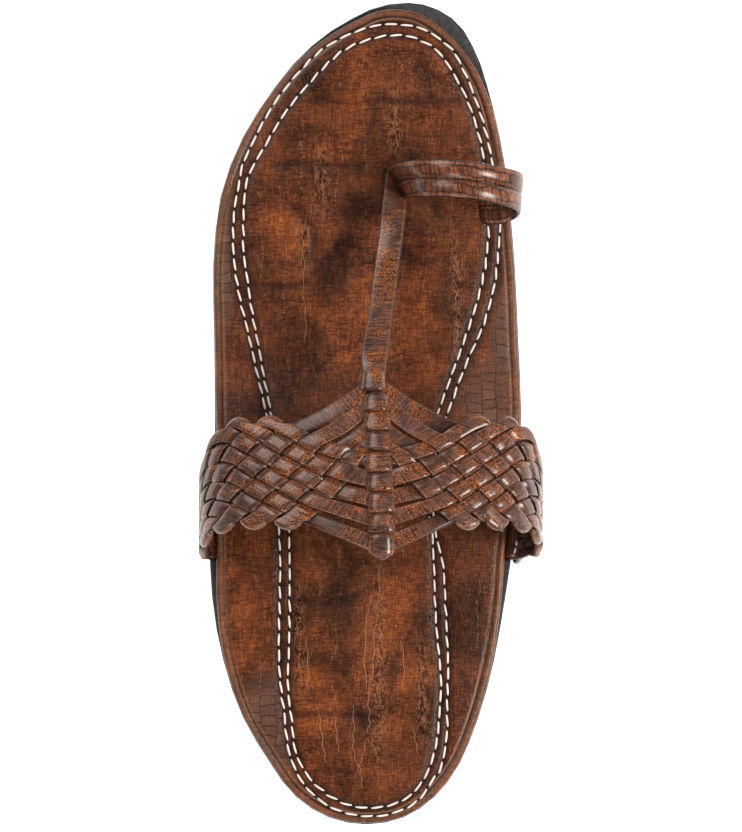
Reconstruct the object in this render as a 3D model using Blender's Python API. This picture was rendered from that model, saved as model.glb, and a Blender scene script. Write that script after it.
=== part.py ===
"""Left sandal: rubber outsole, covered footbed, woven instep band with thong strap, and toe loop.

+Y points to the toe, +X to the big toe's side, +Z up. The origin lies on the floor, at the middle of
the shoe's box. Lengths are in metres.
"""

import math
from collections import namedtuple

import bmesh
import bpy
import numpy as np
from mathutils import Vector

MM = 0.001

# Sole
SOLE_LENGTH = 280.0 * MM
SOLE_WIDTH = 107.0 * MM
HEEL_HEIGHT = 16.0 * MM
TOE_SPRING = 8.0 * MM
RUBBER_LIP = 5.0 * MM
FOOTBED_THICK = 4.0 * MM
FOOTBED_CROWN = 1.2 * MM
CROWN_REACH = 60.0 * MM
FIT_GAP = 0.3 * MM

# Woven band
BAND_SPAN = 117.0 * MM
BAND_DEPTH = 36.0 * MM
RIDGE_HEIGHT = 41.0 * MM
HIP_HEIGHT = 9.0 * MM
STRIP_WIDTH = 5.6 * MM
STRIP_THICK = 1.8 * MM
WALL = 2.0 * MM
RELIEF = 0.9 * MM
CELL_LENGTH = 5.8 * MM
TAB_THICK = 2.4 * MM
TAB_WIDTH = 18.0 * MM
TUCK = 8.0 * MM

# Spine, thong and toe loop
KNOT_WIDTH = 8.8 * MM
KNOT_HEIGHT = 2.2 * MM
THONG_WIDTH = 8.5 * MM
THONG_THICK = 2.4 * MM
LOOP_WIDTH = 13.0 * MM
LOOP_THICK = 2.4 * MM
LOOP_HEIGHT = 23.0 * MM

# Outline of the footbed, from the toe's tip round by the big toe's side. Across is a share of half the
# sole's width, along of half its length, and lip is the share of RUBBER_LIP that the rubber stands out.
Edge = namedtuple("Edge", "across along lip")
OUTLINE = [
    Edge(0.165, 0.984, 0.42),
    Edge(0.29, 0.976, 0.66),
    Edge(0.475, 0.931, 0.98),
    Edge(0.635, 0.860, 0.55),
    Edge(0.75, 0.770, 0.12),
    Edge(0.83, 0.648, 0.06),
    Edge(0.90, 0.420, 0.06),
    Edge(0.935, 0.165, 0.06),
    Edge(0.95, -0.015, 0.08),
    Edge(0.915, -0.165, 0.20),
    Edge(0.86, -0.315, 0.48),
    Edge(0.825, -0.475, 0.20),
    Edge(0.75, -0.645, 0.08),
    Edge(0.66, -0.760, 0.06),
    Edge(0.545, -0.861, 0.06),
    Edge(0.38, -0.938, 0.08),
    Edge(0.20, -0.981, 0.08),
    Edge(-0.03, -0.996, 0.11),
    Edge(-0.29, -0.976, 0.08),
    Edge(-0.485, -0.927, 0.06),
    Edge(-0.66, -0.837, 0.05),
    Edge(-0.825, -0.728, 0.05),
    Edge(-0.925, -0.612, 0.08),
    Edge(-0.98, -0.477, 0.25),
    Edge(-0.985, -0.355, 0.45),
    Edge(-0.985, -0.064, 0.10),
    Edge(-0.995, 0.180, 0.05),
    Edge(-1.00, 0.385, 0.04),
    Edge(-0.95, 0.538, 0.04),
    Edge(-0.845, 0.648, 0.05),
    Edge(-0.66, 0.767, 0.05),
    Edge(-0.42, 0.875, 0.12),
    Edge(-0.26, 0.921, 0.22),
    Edge(-0.095, 0.956, 0.27),
    Edge(0.05, 0.980, 0.30),
]

# Side view of the rubber: gap under it as a share of TOE_SPRING, top as a share of HEEL_HEIGHT.
Profile = namedtuple("Profile", "along gap top")
PROFILE = [
    Profile(-1.00, 0.00, 1.04),
    Profile(-0.60, 0.00, 1.00),
    Profile(-0.42, 0.00, 1.00),
    Profile(-0.20, 0.15, 1.00),
    Profile(-0.02, 0.15, 0.86),
    Profile(0.14, 0.00, 0.75),
    Profile(0.45, 0.00, 0.71),
    Profile(0.65, 0.15, 0.73),
    Profile(0.82, 0.50, 0.82),
    Profile(1.00, 1.00, 0.98),
]

# Rings up the side of each slab: inset from its outline, and height as a share of its thickness.
Ring = namedtuple("Ring", "inset level")
RUBBER_RINGS = [
    Ring(9.0 * MM, 0.0),
    Ring(2.6 * MM, 0.0),
    Ring(1.3 * MM, 0.07),
    Ring(0.9 * MM, 0.40),
    Ring(0.1 * MM, 0.50),
    Ring(0.0 * MM, 0.96),
    Ring(0.5 * MM, 1.0),
    Ring(9.0 * MM, 1.0),
]
FOOTBED_RINGS = [
    Ring(9.0 * MM, 0.0),
    Ring(0.8 * MM, 0.0),
    Ring(0.1 * MM, 0.20),
    Ring(0.0 * MM, 0.50),
    Ring(0.7 * MM, 0.80),
    Ring(2.2 * MM, 0.90),
    Ring(3.0 * MM, 0.88),
    Ring(9.0 * MM, 1.0),
]
STATIONS = 34
CROSS_STEPS = 6

# Band: its middle, the spine's ends and the height of its ridge, as shares of half the sole's length
# and of RIDGE_HEIGHT. The spine leans across from the big toe's side, as shares of half the width.
BAND_ALONG = -0.142
SPINE_TOP = 0.114
SPINE_TIP = -0.356
SPINE_TOP_ACROSS = 0.02
SPINE_TIP_ACROSS = 0.07
RIDGE_AT_TOP = 0.74
RIDGE_AT_TIP = 1.06
TAIL_ALONG = -0.292
SQUARENESS = 2.5
KNOTS = 9

# Weave: strips that run down and out cross strips that run up and out, at levels 1 to 8 across the band.
STRIPS = 9
DOWN_STRIPS = 4
FAN_START = 25.0 * MM
CELL_SLANT = 1.2 * MM
FAN_LIFT = 6.3 * MM
FAN_REACH = 13.0 * MM

# One crossing, as shares of the lattice: the pad's reach across and along its strip, where the seam's
# points lie, and how deep the edge dips between two folds.
PAD_ACROSS = 0.43
PAD_ALONG = 0.33
SEAM_POINT = 0.38
EDGE_DIP = 0.35

# Where each strip leaves the spine, as a share of half the band's depth, and the crossing it runs to.
Start = namedtuple("Start", "rise down up")
STARTS = [
    Start(1.62, 1, 1),
    Start(1.36, 2, 1),
    Start(0.88, 3, 1),
    Start(0.58, 4, 1),
    Start(0.26, 4, 1),
    Start(-0.14, 4, 2),
    Start(-0.50, 4, 3),
    Start(-0.88, 4, 4),
    Start(-1.36, 4, 5),
]

# One knot of the spine, from its top edge down: shares of the knot's pitch, width and height.
Knot = namedtuple("Knot", "along width height")
KNOT_ROWS = [
    Knot(0.03, 0.84, 0.45),
    Knot(0.22, 0.94, 0.95),
    Knot(0.80, 1.00, 1.00),
    Knot(0.97, 0.96, 0.60),
]

# Slits in the footbed: centre as shares of half width and half length, and the angle of their length.
Slit = namedtuple("Slit", "across along angle")
TOE_SLIT = Slit(0.168, 0.560, math.radians(-59.0))
EDGE_SLIT = Slit(0.715, 0.507, math.radians(100.0))

# Toe loop from one slit to the other: place between them, shift to the toe and rise, as shares of the
# slits' distance and of LOOP_HEIGHT, and the angle of the strap's width.
Loop = namedtuple("Loop", "out ahead rise angle")
LOOP_ROWS = [
    Loop(0.06, 0.04, 0.42, math.radians(-70.0)),
    Loop(0.28, 0.11, 0.82, math.radians(-80.0)),
    Loop(0.58, 0.19, 1.00, math.radians(-84.0)),
    Loop(0.92, 0.25, 0.98, math.radians(-86.0)),
    Loop(1.20, 0.28, 0.82, math.radians(-90.0)),
    Loop(1.38, 0.285, 0.60, math.radians(-94.0)),
    Loop(1.43, 0.26, 0.40, math.radians(-94.0)),
    Loop(1.37, 0.17, 0.21, math.radians(-88.0)),
    Loop(1.18, 0.05, 0.115, math.radians(-82.0)),
]


def smooth_path(points, steps, closed=False):
    """Points on a smooth curve through the given ones, with a share of steps between each pair."""
    given = np.array(points, dtype=float)
    if closed:
        before, after = np.roll(given, 1, axis=0), np.roll(given, -1, axis=0)
    else:
        before = np.vstack([2.0 * given[0] - given[1], given[:-1]])
        after = np.vstack([given[1:], 2.0 * given[-1] - given[-2]])
    back = np.linalg.norm(given - before, axis=1)[:, None]
    ahead = np.linalg.norm(after - given, axis=1)[:, None]
    slope = ((given - before) / back * ahead + (after - given) / ahead * back) / (back + ahead)
    path = []
    for index in range(len(given) if closed else len(given) - 1):
        following = (index + 1) % len(given)
        length = np.linalg.norm(given[following] - given[index])
        for step in range(steps):
            share = step / steps
            square, cube = share * share, share**3
            path.append(
                (2 * cube - 3 * square + 1) * given[index]
                + (cube - 2 * square + share) * length * slope[index]
                + (3 * square - 2 * cube) * given[following]
                + (cube - square) * length * slope[following]
            )
    if not closed:
        path.append(given[-1])
    return np.array(path)


def profile_value(column, along):
    """A column of PROFILE at a share of the half length, smooth, and flat between equal rows."""
    where = np.array([row.along for row in PROFILE])
    value = np.array([getattr(row, column) for row in PROFILE])
    step = np.diff(where)
    rise = np.diff(value) / step
    slope = np.zeros(len(where))
    for index in range(1, len(rise)):
        if rise[index - 1] * rise[index] > 0.0:
            slope[index] = 2.0 * rise[index - 1] * rise[index] / (rise[index - 1] + rise[index])
    slope[0], slope[-1] = rise[0], rise[-1]
    along = min(max(along, -1.0), 1.0)
    index = min(max(int(np.searchsorted(where, along)) - 1, 0), len(step) - 1)
    share = (along - where[index]) / step[index]
    square, cube = share * share, share**3
    return (
        (2 * cube - 3 * square + 1) * value[index]
        + (cube - 2 * square + share) * step[index] * slope[index]
        + (3 * square - 2 * cube) * value[index + 1]
        + (cube - square) * step[index] * slope[index + 1]
    )


def floor_gap(y):
    return TOE_SPRING * profile_value("gap", 2.0 * y / SOLE_LENGTH)


def rubber_top(y):
    return HEEL_HEIGHT * profile_value("top", 2.0 * y / SOLE_LENGTH)


def footbed_under(y):
    return rubber_top(y) + FIT_GAP


def footbed_top(y):
    return footbed_under(y) + FOOTBED_THICK


def edge_line(inset, lip):
    """The closed outline, moved out by the lip and in by the inset."""
    rows = [
        (row.across * SOLE_WIDTH / 2, row.along * SOLE_LENGTH / 2, row.lip * RUBBER_LIP) for row in OUTLINE
    ]
    line = smooth_path(rows, 10, closed=True)
    plan = line[:, :2]
    heading = np.roll(plan, -1, axis=0) - np.roll(plan, 1, axis=0)
    heading /= np.linalg.norm(heading, axis=1)[:, None]
    outward = np.column_stack([-heading[:, 1], heading[:, 0]])
    return plan + outward * (line[:, 2:] * lip - inset)


def edge_rows(inset, lip):
    """Left and right edge of the outline at each station from heel to toe."""
    line = edge_line(inset, lip)
    toe, heel = int(np.argmax(line[:, 1])), int(np.argmin(line[:, 1]))
    turned = np.roll(line, -toe, axis=0)
    heel = (heel - toe) % len(line)
    inner = turned[: heel + 1][::-1]
    outer = np.vstack([turned[heel:], turned[:1]])
    low, high = outer[0, 1], outer[-1, 1]
    rows = []
    for station in range(STATIONS + 1):
        y = (low + high) / 2 - (high - low) / 2 * math.cos(math.pi * station / STATIONS)
        left = np.interp(y, outer[:, 1], outer[:, 0])
        right = np.interp(y, inner[:, 1], inner[:, 0])
        rows.append((left, right, y))
    return rows


def footbed_edge(side, along):
    """Where the footbed's edge lies on one side, at a share of the half length."""
    line = edge_line(0.0, 0.0)
    beside = line[line[:, 0] * side > 0.0]
    order = np.argsort(beside[:, 1])
    return float(np.interp(along * SOLE_LENGTH / 2, beside[order, 1], beside[order, 0]))


def new_material(name, colour, roughness):
    material = bpy.data.materials.new(name)
    material.use_nodes = True
    material.diffuse_color = (*colour, 1.0)
    shader = material.node_tree.nodes["Principled BSDF"]
    shader.inputs["Base Color"].default_value = (*colour, 1.0)
    shader.inputs["Roughness"].default_value = roughness
    shader.inputs["Metallic"].default_value = 0.0
    return material


def new_piece(name, shape, collection, material=None):
    """An object from a bmesh, which is freed."""
    mesh = bpy.data.meshes.new(name)
    shape.to_mesh(mesh)
    shape.free()
    mesh.shade_smooth()
    mesh.set_sharp_from_angle(angle=math.radians(35.0))
    piece = bpy.data.objects.new(name, mesh)
    collection.objects.link(piece)
    if material:
        mesh.materials.append(material)
    else:
        piece.hide_render = True
        piece.display_type = "WIRE"
    return piece


def loft(loops, ends_closed=True):
    """A bmesh through loops of equal length, with both ends filled."""
    shape = bmesh.new()
    rows = [[shape.verts.new(point) for point in loop] for loop in loops]
    count = len(rows[0])
    for near, far in zip(rows, rows[1:]):
        for index in range(count):
            following = (index + 1) % count
            shape.faces.new((near[index], near[following], far[following], far[index]))
    if ends_closed:
        shape.faces.new(rows[0][::-1])
        shape.faces.new(rows[-1])
    bmesh.ops.remove_doubles(shape, verts=shape.verts, dist=0.001 * MM)
    bmesh.ops.dissolve_degenerate(shape, edges=shape.edges, dist=0.001 * MM)
    bmesh.ops.recalc_face_normals(shape, faces=shape.faces)
    return shape


def slab(rings, lip, under, over, crown):
    """A loft along the sole, whose cross-section runs round the rings and over a crowned middle."""
    edges = [edge_rows(ring.inset, lip) for ring in rings]
    loops = []
    for station in range(STATIONS + 1):
        left, right = [], []
        for ring, rows in zip(rings, edges):
            x_left, x_right, y = rows[station]
            z = under(y) + (over(y) - under(y)) * ring.level
            left.append((x_left, y, z))
            right.append((x_right, y, z))
        loop = list(left)
        for half, sign in ((-1, 1), (0, -1)):
            x_left, x_right, y = edges[half][station]
            z = over(y) if half else under(y)
            spread = min((x_right - x_left) / CROWN_REACH, 1.0) ** 2
            for step in range(1, CROSS_STEPS):
                share = step / CROSS_STEPS
                bulge = crown * 4 * share * (1 - share) * spread if half else 0.0
                place = share if sign > 0 else 1 - share
                loop.append((x_left + (x_right - x_left) * place, y, z + bulge))
            if half:
                loop.extend(right[::-1])
        loops.append(loop)
    return loft(loops, ends_closed=False)


def strap(sections):
    """A flat strap through sections of centre, half width and thickness."""
    loops = []
    centres = [section[0] for section in sections]
    for index, (centre, half, thick) in enumerate(sections):
        before = centres[max(index - 1, 0)]
        after = centres[min(index + 1, len(centres) - 1)]
        up = half.cross(after - before).normalized() * (thick / 2)
        loops.append([centre - half - up, centre + half - up, centre + half + up, centre - half + up])
    return loft(loops)


def box_cutter(name, collection, centre, size, angle=0.0):
    """A box that cuts, turned about the upright axis."""
    shape = bmesh.new()
    bmesh.ops.create_cube(shape, size=1.0)
    bmesh.ops.scale(shape, vec=size, verts=shape.verts)
    cutter = new_piece(name, shape, collection)
    cutter.location = centre
    cutter.rotation_euler = (0.0, 0.0, angle)
    return cutter


def boolean(piece, operation, cutters):
    """Cuts or joins the named cutters, all in one collection."""
    modifier = piece.modifiers.new(operation.title(), "BOOLEAN")
    modifier.operation = operation
    modifier.solver = "EXACT"
    modifier.operand_type = "COLLECTION"
    modifier.collection = cutters


def tab_seat(side):
    """The footbed's edge at the tab: how far out it lies, and its direction there."""
    half = TAB_WIDTH / SOLE_LENGTH
    rear = footbed_edge(side, TAIL_ALONG - half)
    front = footbed_edge(side, TAIL_ALONG + half)
    middle = footbed_edge(side, TAIL_ALONG)
    out = side * max(side * middle, side * (rear + front) / 2)
    return out, Vector((front - rear, TAB_WIDTH, 0.0)).normalized()


def tail_edge(side):
    """Outer face of the tab where it passes the footbed's edge."""
    return tab_seat(side)[0] + side * (FIT_GAP + TAB_THICK)


def band_height(y):
    """Height of the ridge at a place along the shoe, level again past the spine's tip."""
    top, tip = SPINE_TOP * SOLE_LENGTH / 2, SPINE_TIP * SOLE_LENGTH / 2
    share = min(max((top - y) / (top - tip), -0.1), 1.1)
    rise = RIDGE_AT_TOP + (RIDGE_AT_TIP - RIDGE_AT_TOP) * math.sin(share * math.pi / 2)
    return band_foot() + RIDGE_HEIGHT * rise


def band_foot():
    """Level of the footbed's top beside the band."""
    return footbed_top(TAIL_ALONG * SOLE_LENGTH / 2)


def spine_place(y):
    """How far the spine lies from the middle, across the shoe."""
    top, tip = SPINE_TOP * SOLE_LENGTH / 2, SPINE_TIP * SOLE_LENGTH / 2
    share = (top - y) / (top - tip)
    return SOLE_WIDTH / 2 * (SPINE_TOP_ACROSS + (SPINE_TIP_ACROSS - SPINE_TOP_ACROSS) * share)


def arch_line(side):
    """The band's cross-section on one side, from the ridge down to the footbed's edge.

    Rows of girth, distance out and height over the footbed, for a ridge of RIDGE_HEIGHT.
    """
    half = BAND_SPAN / 2 - RELIEF
    rows = []
    for step in range(25):
        turn = math.pi / 2 * step / 24
        out = half * math.sin(turn) ** (2 / SQUARENESS)
        up = HIP_HEIGHT + (RIDGE_HEIGHT - HIP_HEIGHT) * max(math.cos(turn), 0.0) ** (2 / SQUARENESS)
        rows.append((out, up))
    foot = abs(tail_edge(side))
    for step in range(1, 7):
        share = step / 6
        out = half - (half - foot) * (1 - math.cos(math.pi * share)) / 2
        rows.append((out, HIP_HEIGHT - (HIP_HEIGHT + FOOTBED_THICK / 2) * share))
    line = np.array(rows)
    girth = np.concatenate([[0.0], np.cumsum(np.linalg.norm(np.diff(line, axis=0), axis=1))])
    return girth, line[:, 0], line[:, 1]


ARCHES = {side: arch_line(side) for side in (-1, 1)}


def on_arch(side, girth, y):
    """Point of the band's outer face, by girth from the spine and place along the shoe."""
    lengths, outs, ups = ARCHES[side]
    out = float(np.interp(girth, lengths, outs))
    up = float(np.interp(girth, lengths, ups))
    if up > 0.0:
        up *= (band_height(y) - band_foot()) / RIDGE_HEIGHT
    lean = spine_place(y) * (1 - (out / outs.max()) ** 2)
    return Vector((side * out + lean, y, band_foot() + up))


def over_arch(side, girth, y, lift):
    """The same point, raised from the band's face."""
    step = 0.5 * MM
    across = on_arch(side, girth + step, y) - on_arch(side, max(girth - step, 0.0), y)
    along = on_arch(side, girth, y + step) - on_arch(side, girth, y - step)
    outward = across.cross(along).normalized() * side
    return on_arch(side, girth, y) + outward * lift


def gather(side, girth):
    """How far the weave has drawn together towards its tab, from 0 to 1."""
    end = ARCHES[side][0][-1]
    start = 0.55 * end
    share = min(max((girth - start) / (end - start), 0.0), 1.0)
    return share * share * (3 - 2 * share)


def weave_middle(side, girth):
    """Place along the shoe of the weave's middle line, which runs back to the tab."""
    return SOLE_LENGTH / 2 * (BAND_ALONG + (TAIL_ALONG - BAND_ALONG) * gather(side, girth))


def weave_place(side, column, level):
    """Girth and place along the shoe of a point of the weave's lattice."""
    girth = FAN_START + column * CELL_LENGTH - (level - 4) * CELL_SLANT
    half = BAND_DEPTH / 2
    rise = half * (1 - 2 * level / STRIPS)
    rise += FAN_LIFT * math.exp(-((max(girth, 0.0) / FAN_REACH) ** 2)) * max(1 - abs(level - 4) / 5, 0.0)
    drawn = gather(side, girth)
    rise *= 1 - drawn * (1 - TAB_WIDTH / BAND_DEPTH)
    return girth, weave_middle(side, girth) + rise


def weave_point(side, column, level, lift):
    girth, y = weave_place(side, column, level)
    return over_arch(side, girth, y, lift)


def weave_columns(side):
    """How many columns of crossings fit before the tab."""
    end = ARCHES[side][0][-1]
    return int((end - FAN_START - 3 * CELL_SLANT) / CELL_LENGTH)


def crossing_pad(down, up):
    """Lattice places of a crossing's 16 points, in rows, with 1 where the pad is raised."""
    runs_down = (down + up - 1) % 2 == 0
    down_pad, up_pad = (PAD_ACROSS, PAD_ALONG) if runs_down else (PAD_ALONG, PAD_ACROSS)
    grid = []
    for i, down_sign in enumerate((-1, -1, 1, 1)):
        row = []
        for j, up_sign in enumerate((-1, -1, 1, 1)):
            raised = i in (1, 2) and j in (1, 2)
            down_seam = 0.5 if i in (0, 3) else SEAM_POINT
            up_seam = 0.5 if j in (0, 3) else SEAM_POINT
            down_place = down + down_sign * (down_pad if raised else down_seam)
            up_place = up + up_sign * (up_pad if raised else up_seam)
            row.append((down_place, up_place, 1 if raised else 0))
        grid.append(row)
    return grid


def fold_chains(last):
    """Along both edges of the band, the seams between each two folds and the low point between them."""
    shares = (-0.5, -SEAM_POINT, SEAM_POINT, 0.5)
    for column in range(0, last - 1, 2):
        down, up = 1 - column / 2, 1 + column / 2
        near = [(down - 0.5, up + share, 0) for share in shares]
        far = [(down - 1 - share, up + 0.5, 0) for share in shares[1:]]
        yield near + far, (column + 1, EDGE_DIP)
    for column in range(STRIPS - 2 * DOWN_STRIPS, last - 1, 2):
        down, up = (STRIPS - column) / 2, (STRIPS + column) / 2
        near = [(down - share, up + 0.5, 0) for share in shares]
        far = [(down - 0.5, up + 1 + share, 0) for share in shares[1:]]
        yield near + far, (column + 1, STRIPS - EDGE_DIP)


def weave_wall(side, cutters):
    """One wall in which each crossing is a raised pad, as long as the strip that lies on top."""
    shape = bmesh.new()
    tag = shape.verts.layers.int.new("place")
    places, known = [], {}

    def add_point(column, level, raised):
        point = shape.verts.new(weave_point(side, column, level, -WALL))
        point[tag] = len(places)
        places.append((column, level, raised * RELIEF))
        return point

    def corner(place):
        down, up, raised = place
        key = (round(down, 3), round(up, 3))
        if key not in known:
            known[key] = add_point(up - down, down + up - 1, raised)
        return known[key]

    last = weave_columns(side)
    for down in range(DOWN_STRIPS, -STRIPS, -1):
        for up in range(1, 2 * STRIPS):
            if 1 <= down + up - 1 <= STRIPS - 1 and up - down <= last:
                grid = [[corner(place) for place in row] for row in crossing_pad(down, up)]
                for i in range(3):
                    for j in range(3):
                        shape.faces.new((grid[i][j], grid[i + 1][j], grid[i + 1][j + 1], grid[i][j + 1]))
    for chain, (column, level) in fold_chains(last):
        rim = add_point(column, level, 0)
        points = [corner(place) for place in chain]
        for first, second in zip(points, points[1:]):
            shape.faces.new((first, second, rim))
    grown = bmesh.ops.extrude_face_region(shape, geom=shape.faces[:])
    for point in grown["geom"]:
        if isinstance(point, bmesh.types.BMVert):
            column, level, lift = places[point[tag]]
            point.co = weave_point(side, column, level, lift)
    bmesh.ops.recalc_face_normals(shape, faces=shape.faces)
    return new_piece(f"weave_{side}", shape, cutters)


def fan_strip(side, number, start, cutters):
    """A strip from the spine to the first crossing of the weave that it belongs to."""
    column, level = start.up - start.down, start.down + start.up - 1
    runs_down = number < DOWN_STRIPS
    is_over = (level % 2 == 0) == runs_down
    goal_girth, goal_y = weave_place(side, column, level)
    ahead = 0.35 if is_over else 0.2
    past_girth, past_y = weave_place(side, column + ahead, level + (ahead if runs_down else -ahead))
    middle_y = SOLE_LENGTH / 2 * BAND_ALONG
    first_y = middle_y + start.rise * BAND_DEPTH / 2
    centre_lift = (RELIEF if is_over else 0.35 * RELIEF) - STRIP_THICK / 2
    rows = []
    for share in (0.0, 0.4, 0.75, 1.0):
        bow = share + 0.10 * math.sin(math.pi * share)
        girth = 1.5 * MM + (goal_girth - 1.5 * MM) * share
        y = first_y + (goal_y - first_y) * (bow if runs_down else share)
        rows.append(over_arch(side, girth, y, centre_lift))
    rows.append(over_arch(side, past_girth, past_y, centre_lift - (0.3 * RELIEF if is_over else RELIEF)))
    sections = []
    for index, centre in enumerate(rows):
        heading = rows[min(index + 1, len(rows) - 1)] - rows[max(index - 1, 0)]
        face = over_arch(side, 10 * MM, centre.y, 1.0) - over_arch(side, 10 * MM, centre.y, 0.0)
        half = heading.cross(face).normalized() * (STRIP_WIDTH / 2)
        sections.append((centre, half, STRIP_THICK))
    return new_piece(f"fan_strip_{number}_{side}", strap(sections), cutters)


def tab(side, cutters):
    """Sewn end of the band: down past the footbed's edge and flat under it."""
    end = ARCHES[side][0][-1]
    y = SOLE_LENGTH / 2 * TAIL_ALONG
    seat, heading = tab_seat(side)
    width = heading * (-side * TAB_WIDTH / 2)
    top = rubber_top(y)
    middle = tail_edge(side) - side * TAB_THICK / 2
    inside = seat - side * TUCK
    high, low = end - 0.75 * TAB_WIDTH, end - 0.35 * TAB_WIDTH
    centres = [
        over_arch(side, high, weave_middle(side, high), FIT_GAP - TAB_THICK / 2),
        over_arch(side, low, weave_middle(side, low), FIT_GAP - TAB_THICK / 2),
        Vector((middle, y, footbed_under(y) + FOOTBED_THICK / 2)),
        Vector((middle, y, top)),
        Vector((middle - side * TAB_THICK / 2, y, top - TAB_THICK / 2)),
        Vector((inside, y, top - TAB_THICK / 2)),
    ]
    sections = [(centre, width, TAB_THICK) for centre in centres]
    sections[0] = (centres[0], width * 0.9, TAB_THICK * 0.8)
    return new_piece(f"tab_{side}", strap(sections), cutters)


def spine_shape():
    """Nine wrapped knots in a row along the ridge, the last with a blunt point."""
    top, tip = SPINE_TOP * SOLE_LENGTH / 2, SPINE_TIP * SOLE_LENGTH / 2
    pitch = (top - tip) / KNOTS
    rows = []
    for knot in range(KNOTS):
        for row in KNOT_ROWS:
            rows.append((top - (knot + row.along) * pitch, row.width, row.height))
    rows[-1] = (tip + 0.1 * pitch, 0.8, 0.9)
    rows.append((tip, 0.35, 0.6))
    loops = []
    for y, width, height in rows:
        centre = on_arch(1, 0.0, y)
        half = width * KNOT_WIDTH / 2
        loop = []
        for across, up in ((-1, -0.1), (-0.86, 0.62), (-0.45, 0.95), (0.45, 0.95), (0.86, 0.62), (1, -0.1)):
            loop.append(centre + Vector((across * half, 0.0, up * height * KNOT_HEIGHT)))
        loop.append(centre + Vector((half * 0.9, 0.0, -WALL)))
        loop.append(centre + Vector((-half * 0.9, 0.0, -WALL)))
        loops.append(loop)
    return loft(loops)


def slit_place(slit, shift):
    """A point on the slit, moved across it, with the slit's direction."""
    heading = Vector((math.cos(slit.angle), math.sin(slit.angle), 0.0))
    aside = Vector((-heading.y, heading.x, 0.0))
    centre = Vector((slit.across * SOLE_WIDTH / 2, slit.along * SOLE_LENGTH / 2, 0.0))
    return centre + aside * shift, heading


def thong_shape():
    """The strap between the toes, from its slit up to the first knot."""
    shift = -(LOOP_THICK + FIT_GAP) / 2
    foot, heading = slit_place(TOE_SLIT, shift)
    width = heading * (LOOP_WIDTH / 2)
    bottom = rubber_top(foot.y) + FIT_GAP
    mouth = footbed_top(foot.y) + FOOTBED_CROWN
    top_y = SPINE_TOP * SOLE_LENGTH / 2
    ridge = on_arch(1, 0.0, top_y)
    across = Vector((THONG_WIDTH / 2, 0.0, 0.0))
    sections = [
        (Vector((foot.x, foot.y, bottom)), width, THONG_THICK),
        (Vector((foot.x, foot.y, mouth)), width, THONG_THICK),
    ]
    lean = Vector((0.0, -1.1 * THONG_THICK, 1.35 * THONG_THICK))
    sections.append((Vector((foot.x, foot.y, mouth)) + lean, width.lerp(across, 0.45), THONG_THICK))
    low = Vector((foot.x, foot.y, mouth)) + lean * 3.2
    high = ridge
    sag = Vector((0.0, 0.0, -0.6 * THONG_THICK))
    for share in (0.0, 0.35, 0.7, 1.0):
        centre = low.lerp(high, share) + sag * math.sin(math.pi * share)
        sections.append((centre, across, THONG_THICK))
    inside_knot = top_y - 0.7 * (SPINE_TOP - SPINE_TIP) * SOLE_LENGTH / 2 / KNOTS
    sections.append((on_arch(1, 0.0, inside_knot), across * 0.8, THONG_THICK * 0.8))
    return strap(sections)


def loop_shape():
    """The strap over the big toe, from its slit up, out past the sole's edge and back down."""
    first, first_heading = slit_place(TOE_SLIT, (THONG_THICK + FIT_GAP) / 2)
    last, last_heading = slit_place(EDGE_SLIT, 0.0)
    base = footbed_top(first.y)
    reach = last.x - first.x
    sections = []
    for place, heading, order in ((first, first_heading, 1), (last, -last_heading, -1)):
        half = heading * (LOOP_WIDTH / 2)
        pair = [
            (Vector((place.x, place.y, rubber_top(place.y) + FIT_GAP)), half, LOOP_THICK),
            (Vector((place.x, place.y, footbed_top(place.y) + FOOTBED_CROWN / 2)), half, LOOP_THICK),
        ]
        sections.append(pair[::order])
    middle = []
    for row in LOOP_ROWS:
        heading = Vector((math.cos(row.angle), math.sin(row.angle), 0.0))
        y = first.y + (last.y - first.y) * row.out + row.ahead * reach
        centre = Vector((first.x + reach * row.out, y, base + LOOP_HEIGHT * row.rise))
        middle.append((centre, heading * (LOOP_WIDTH / 2), LOOP_THICK))
    return strap(sections[0] + middle + sections[1])


def clear_scene():
    for old in list(bpy.data.objects):
        bpy.data.objects.remove(old)


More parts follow.
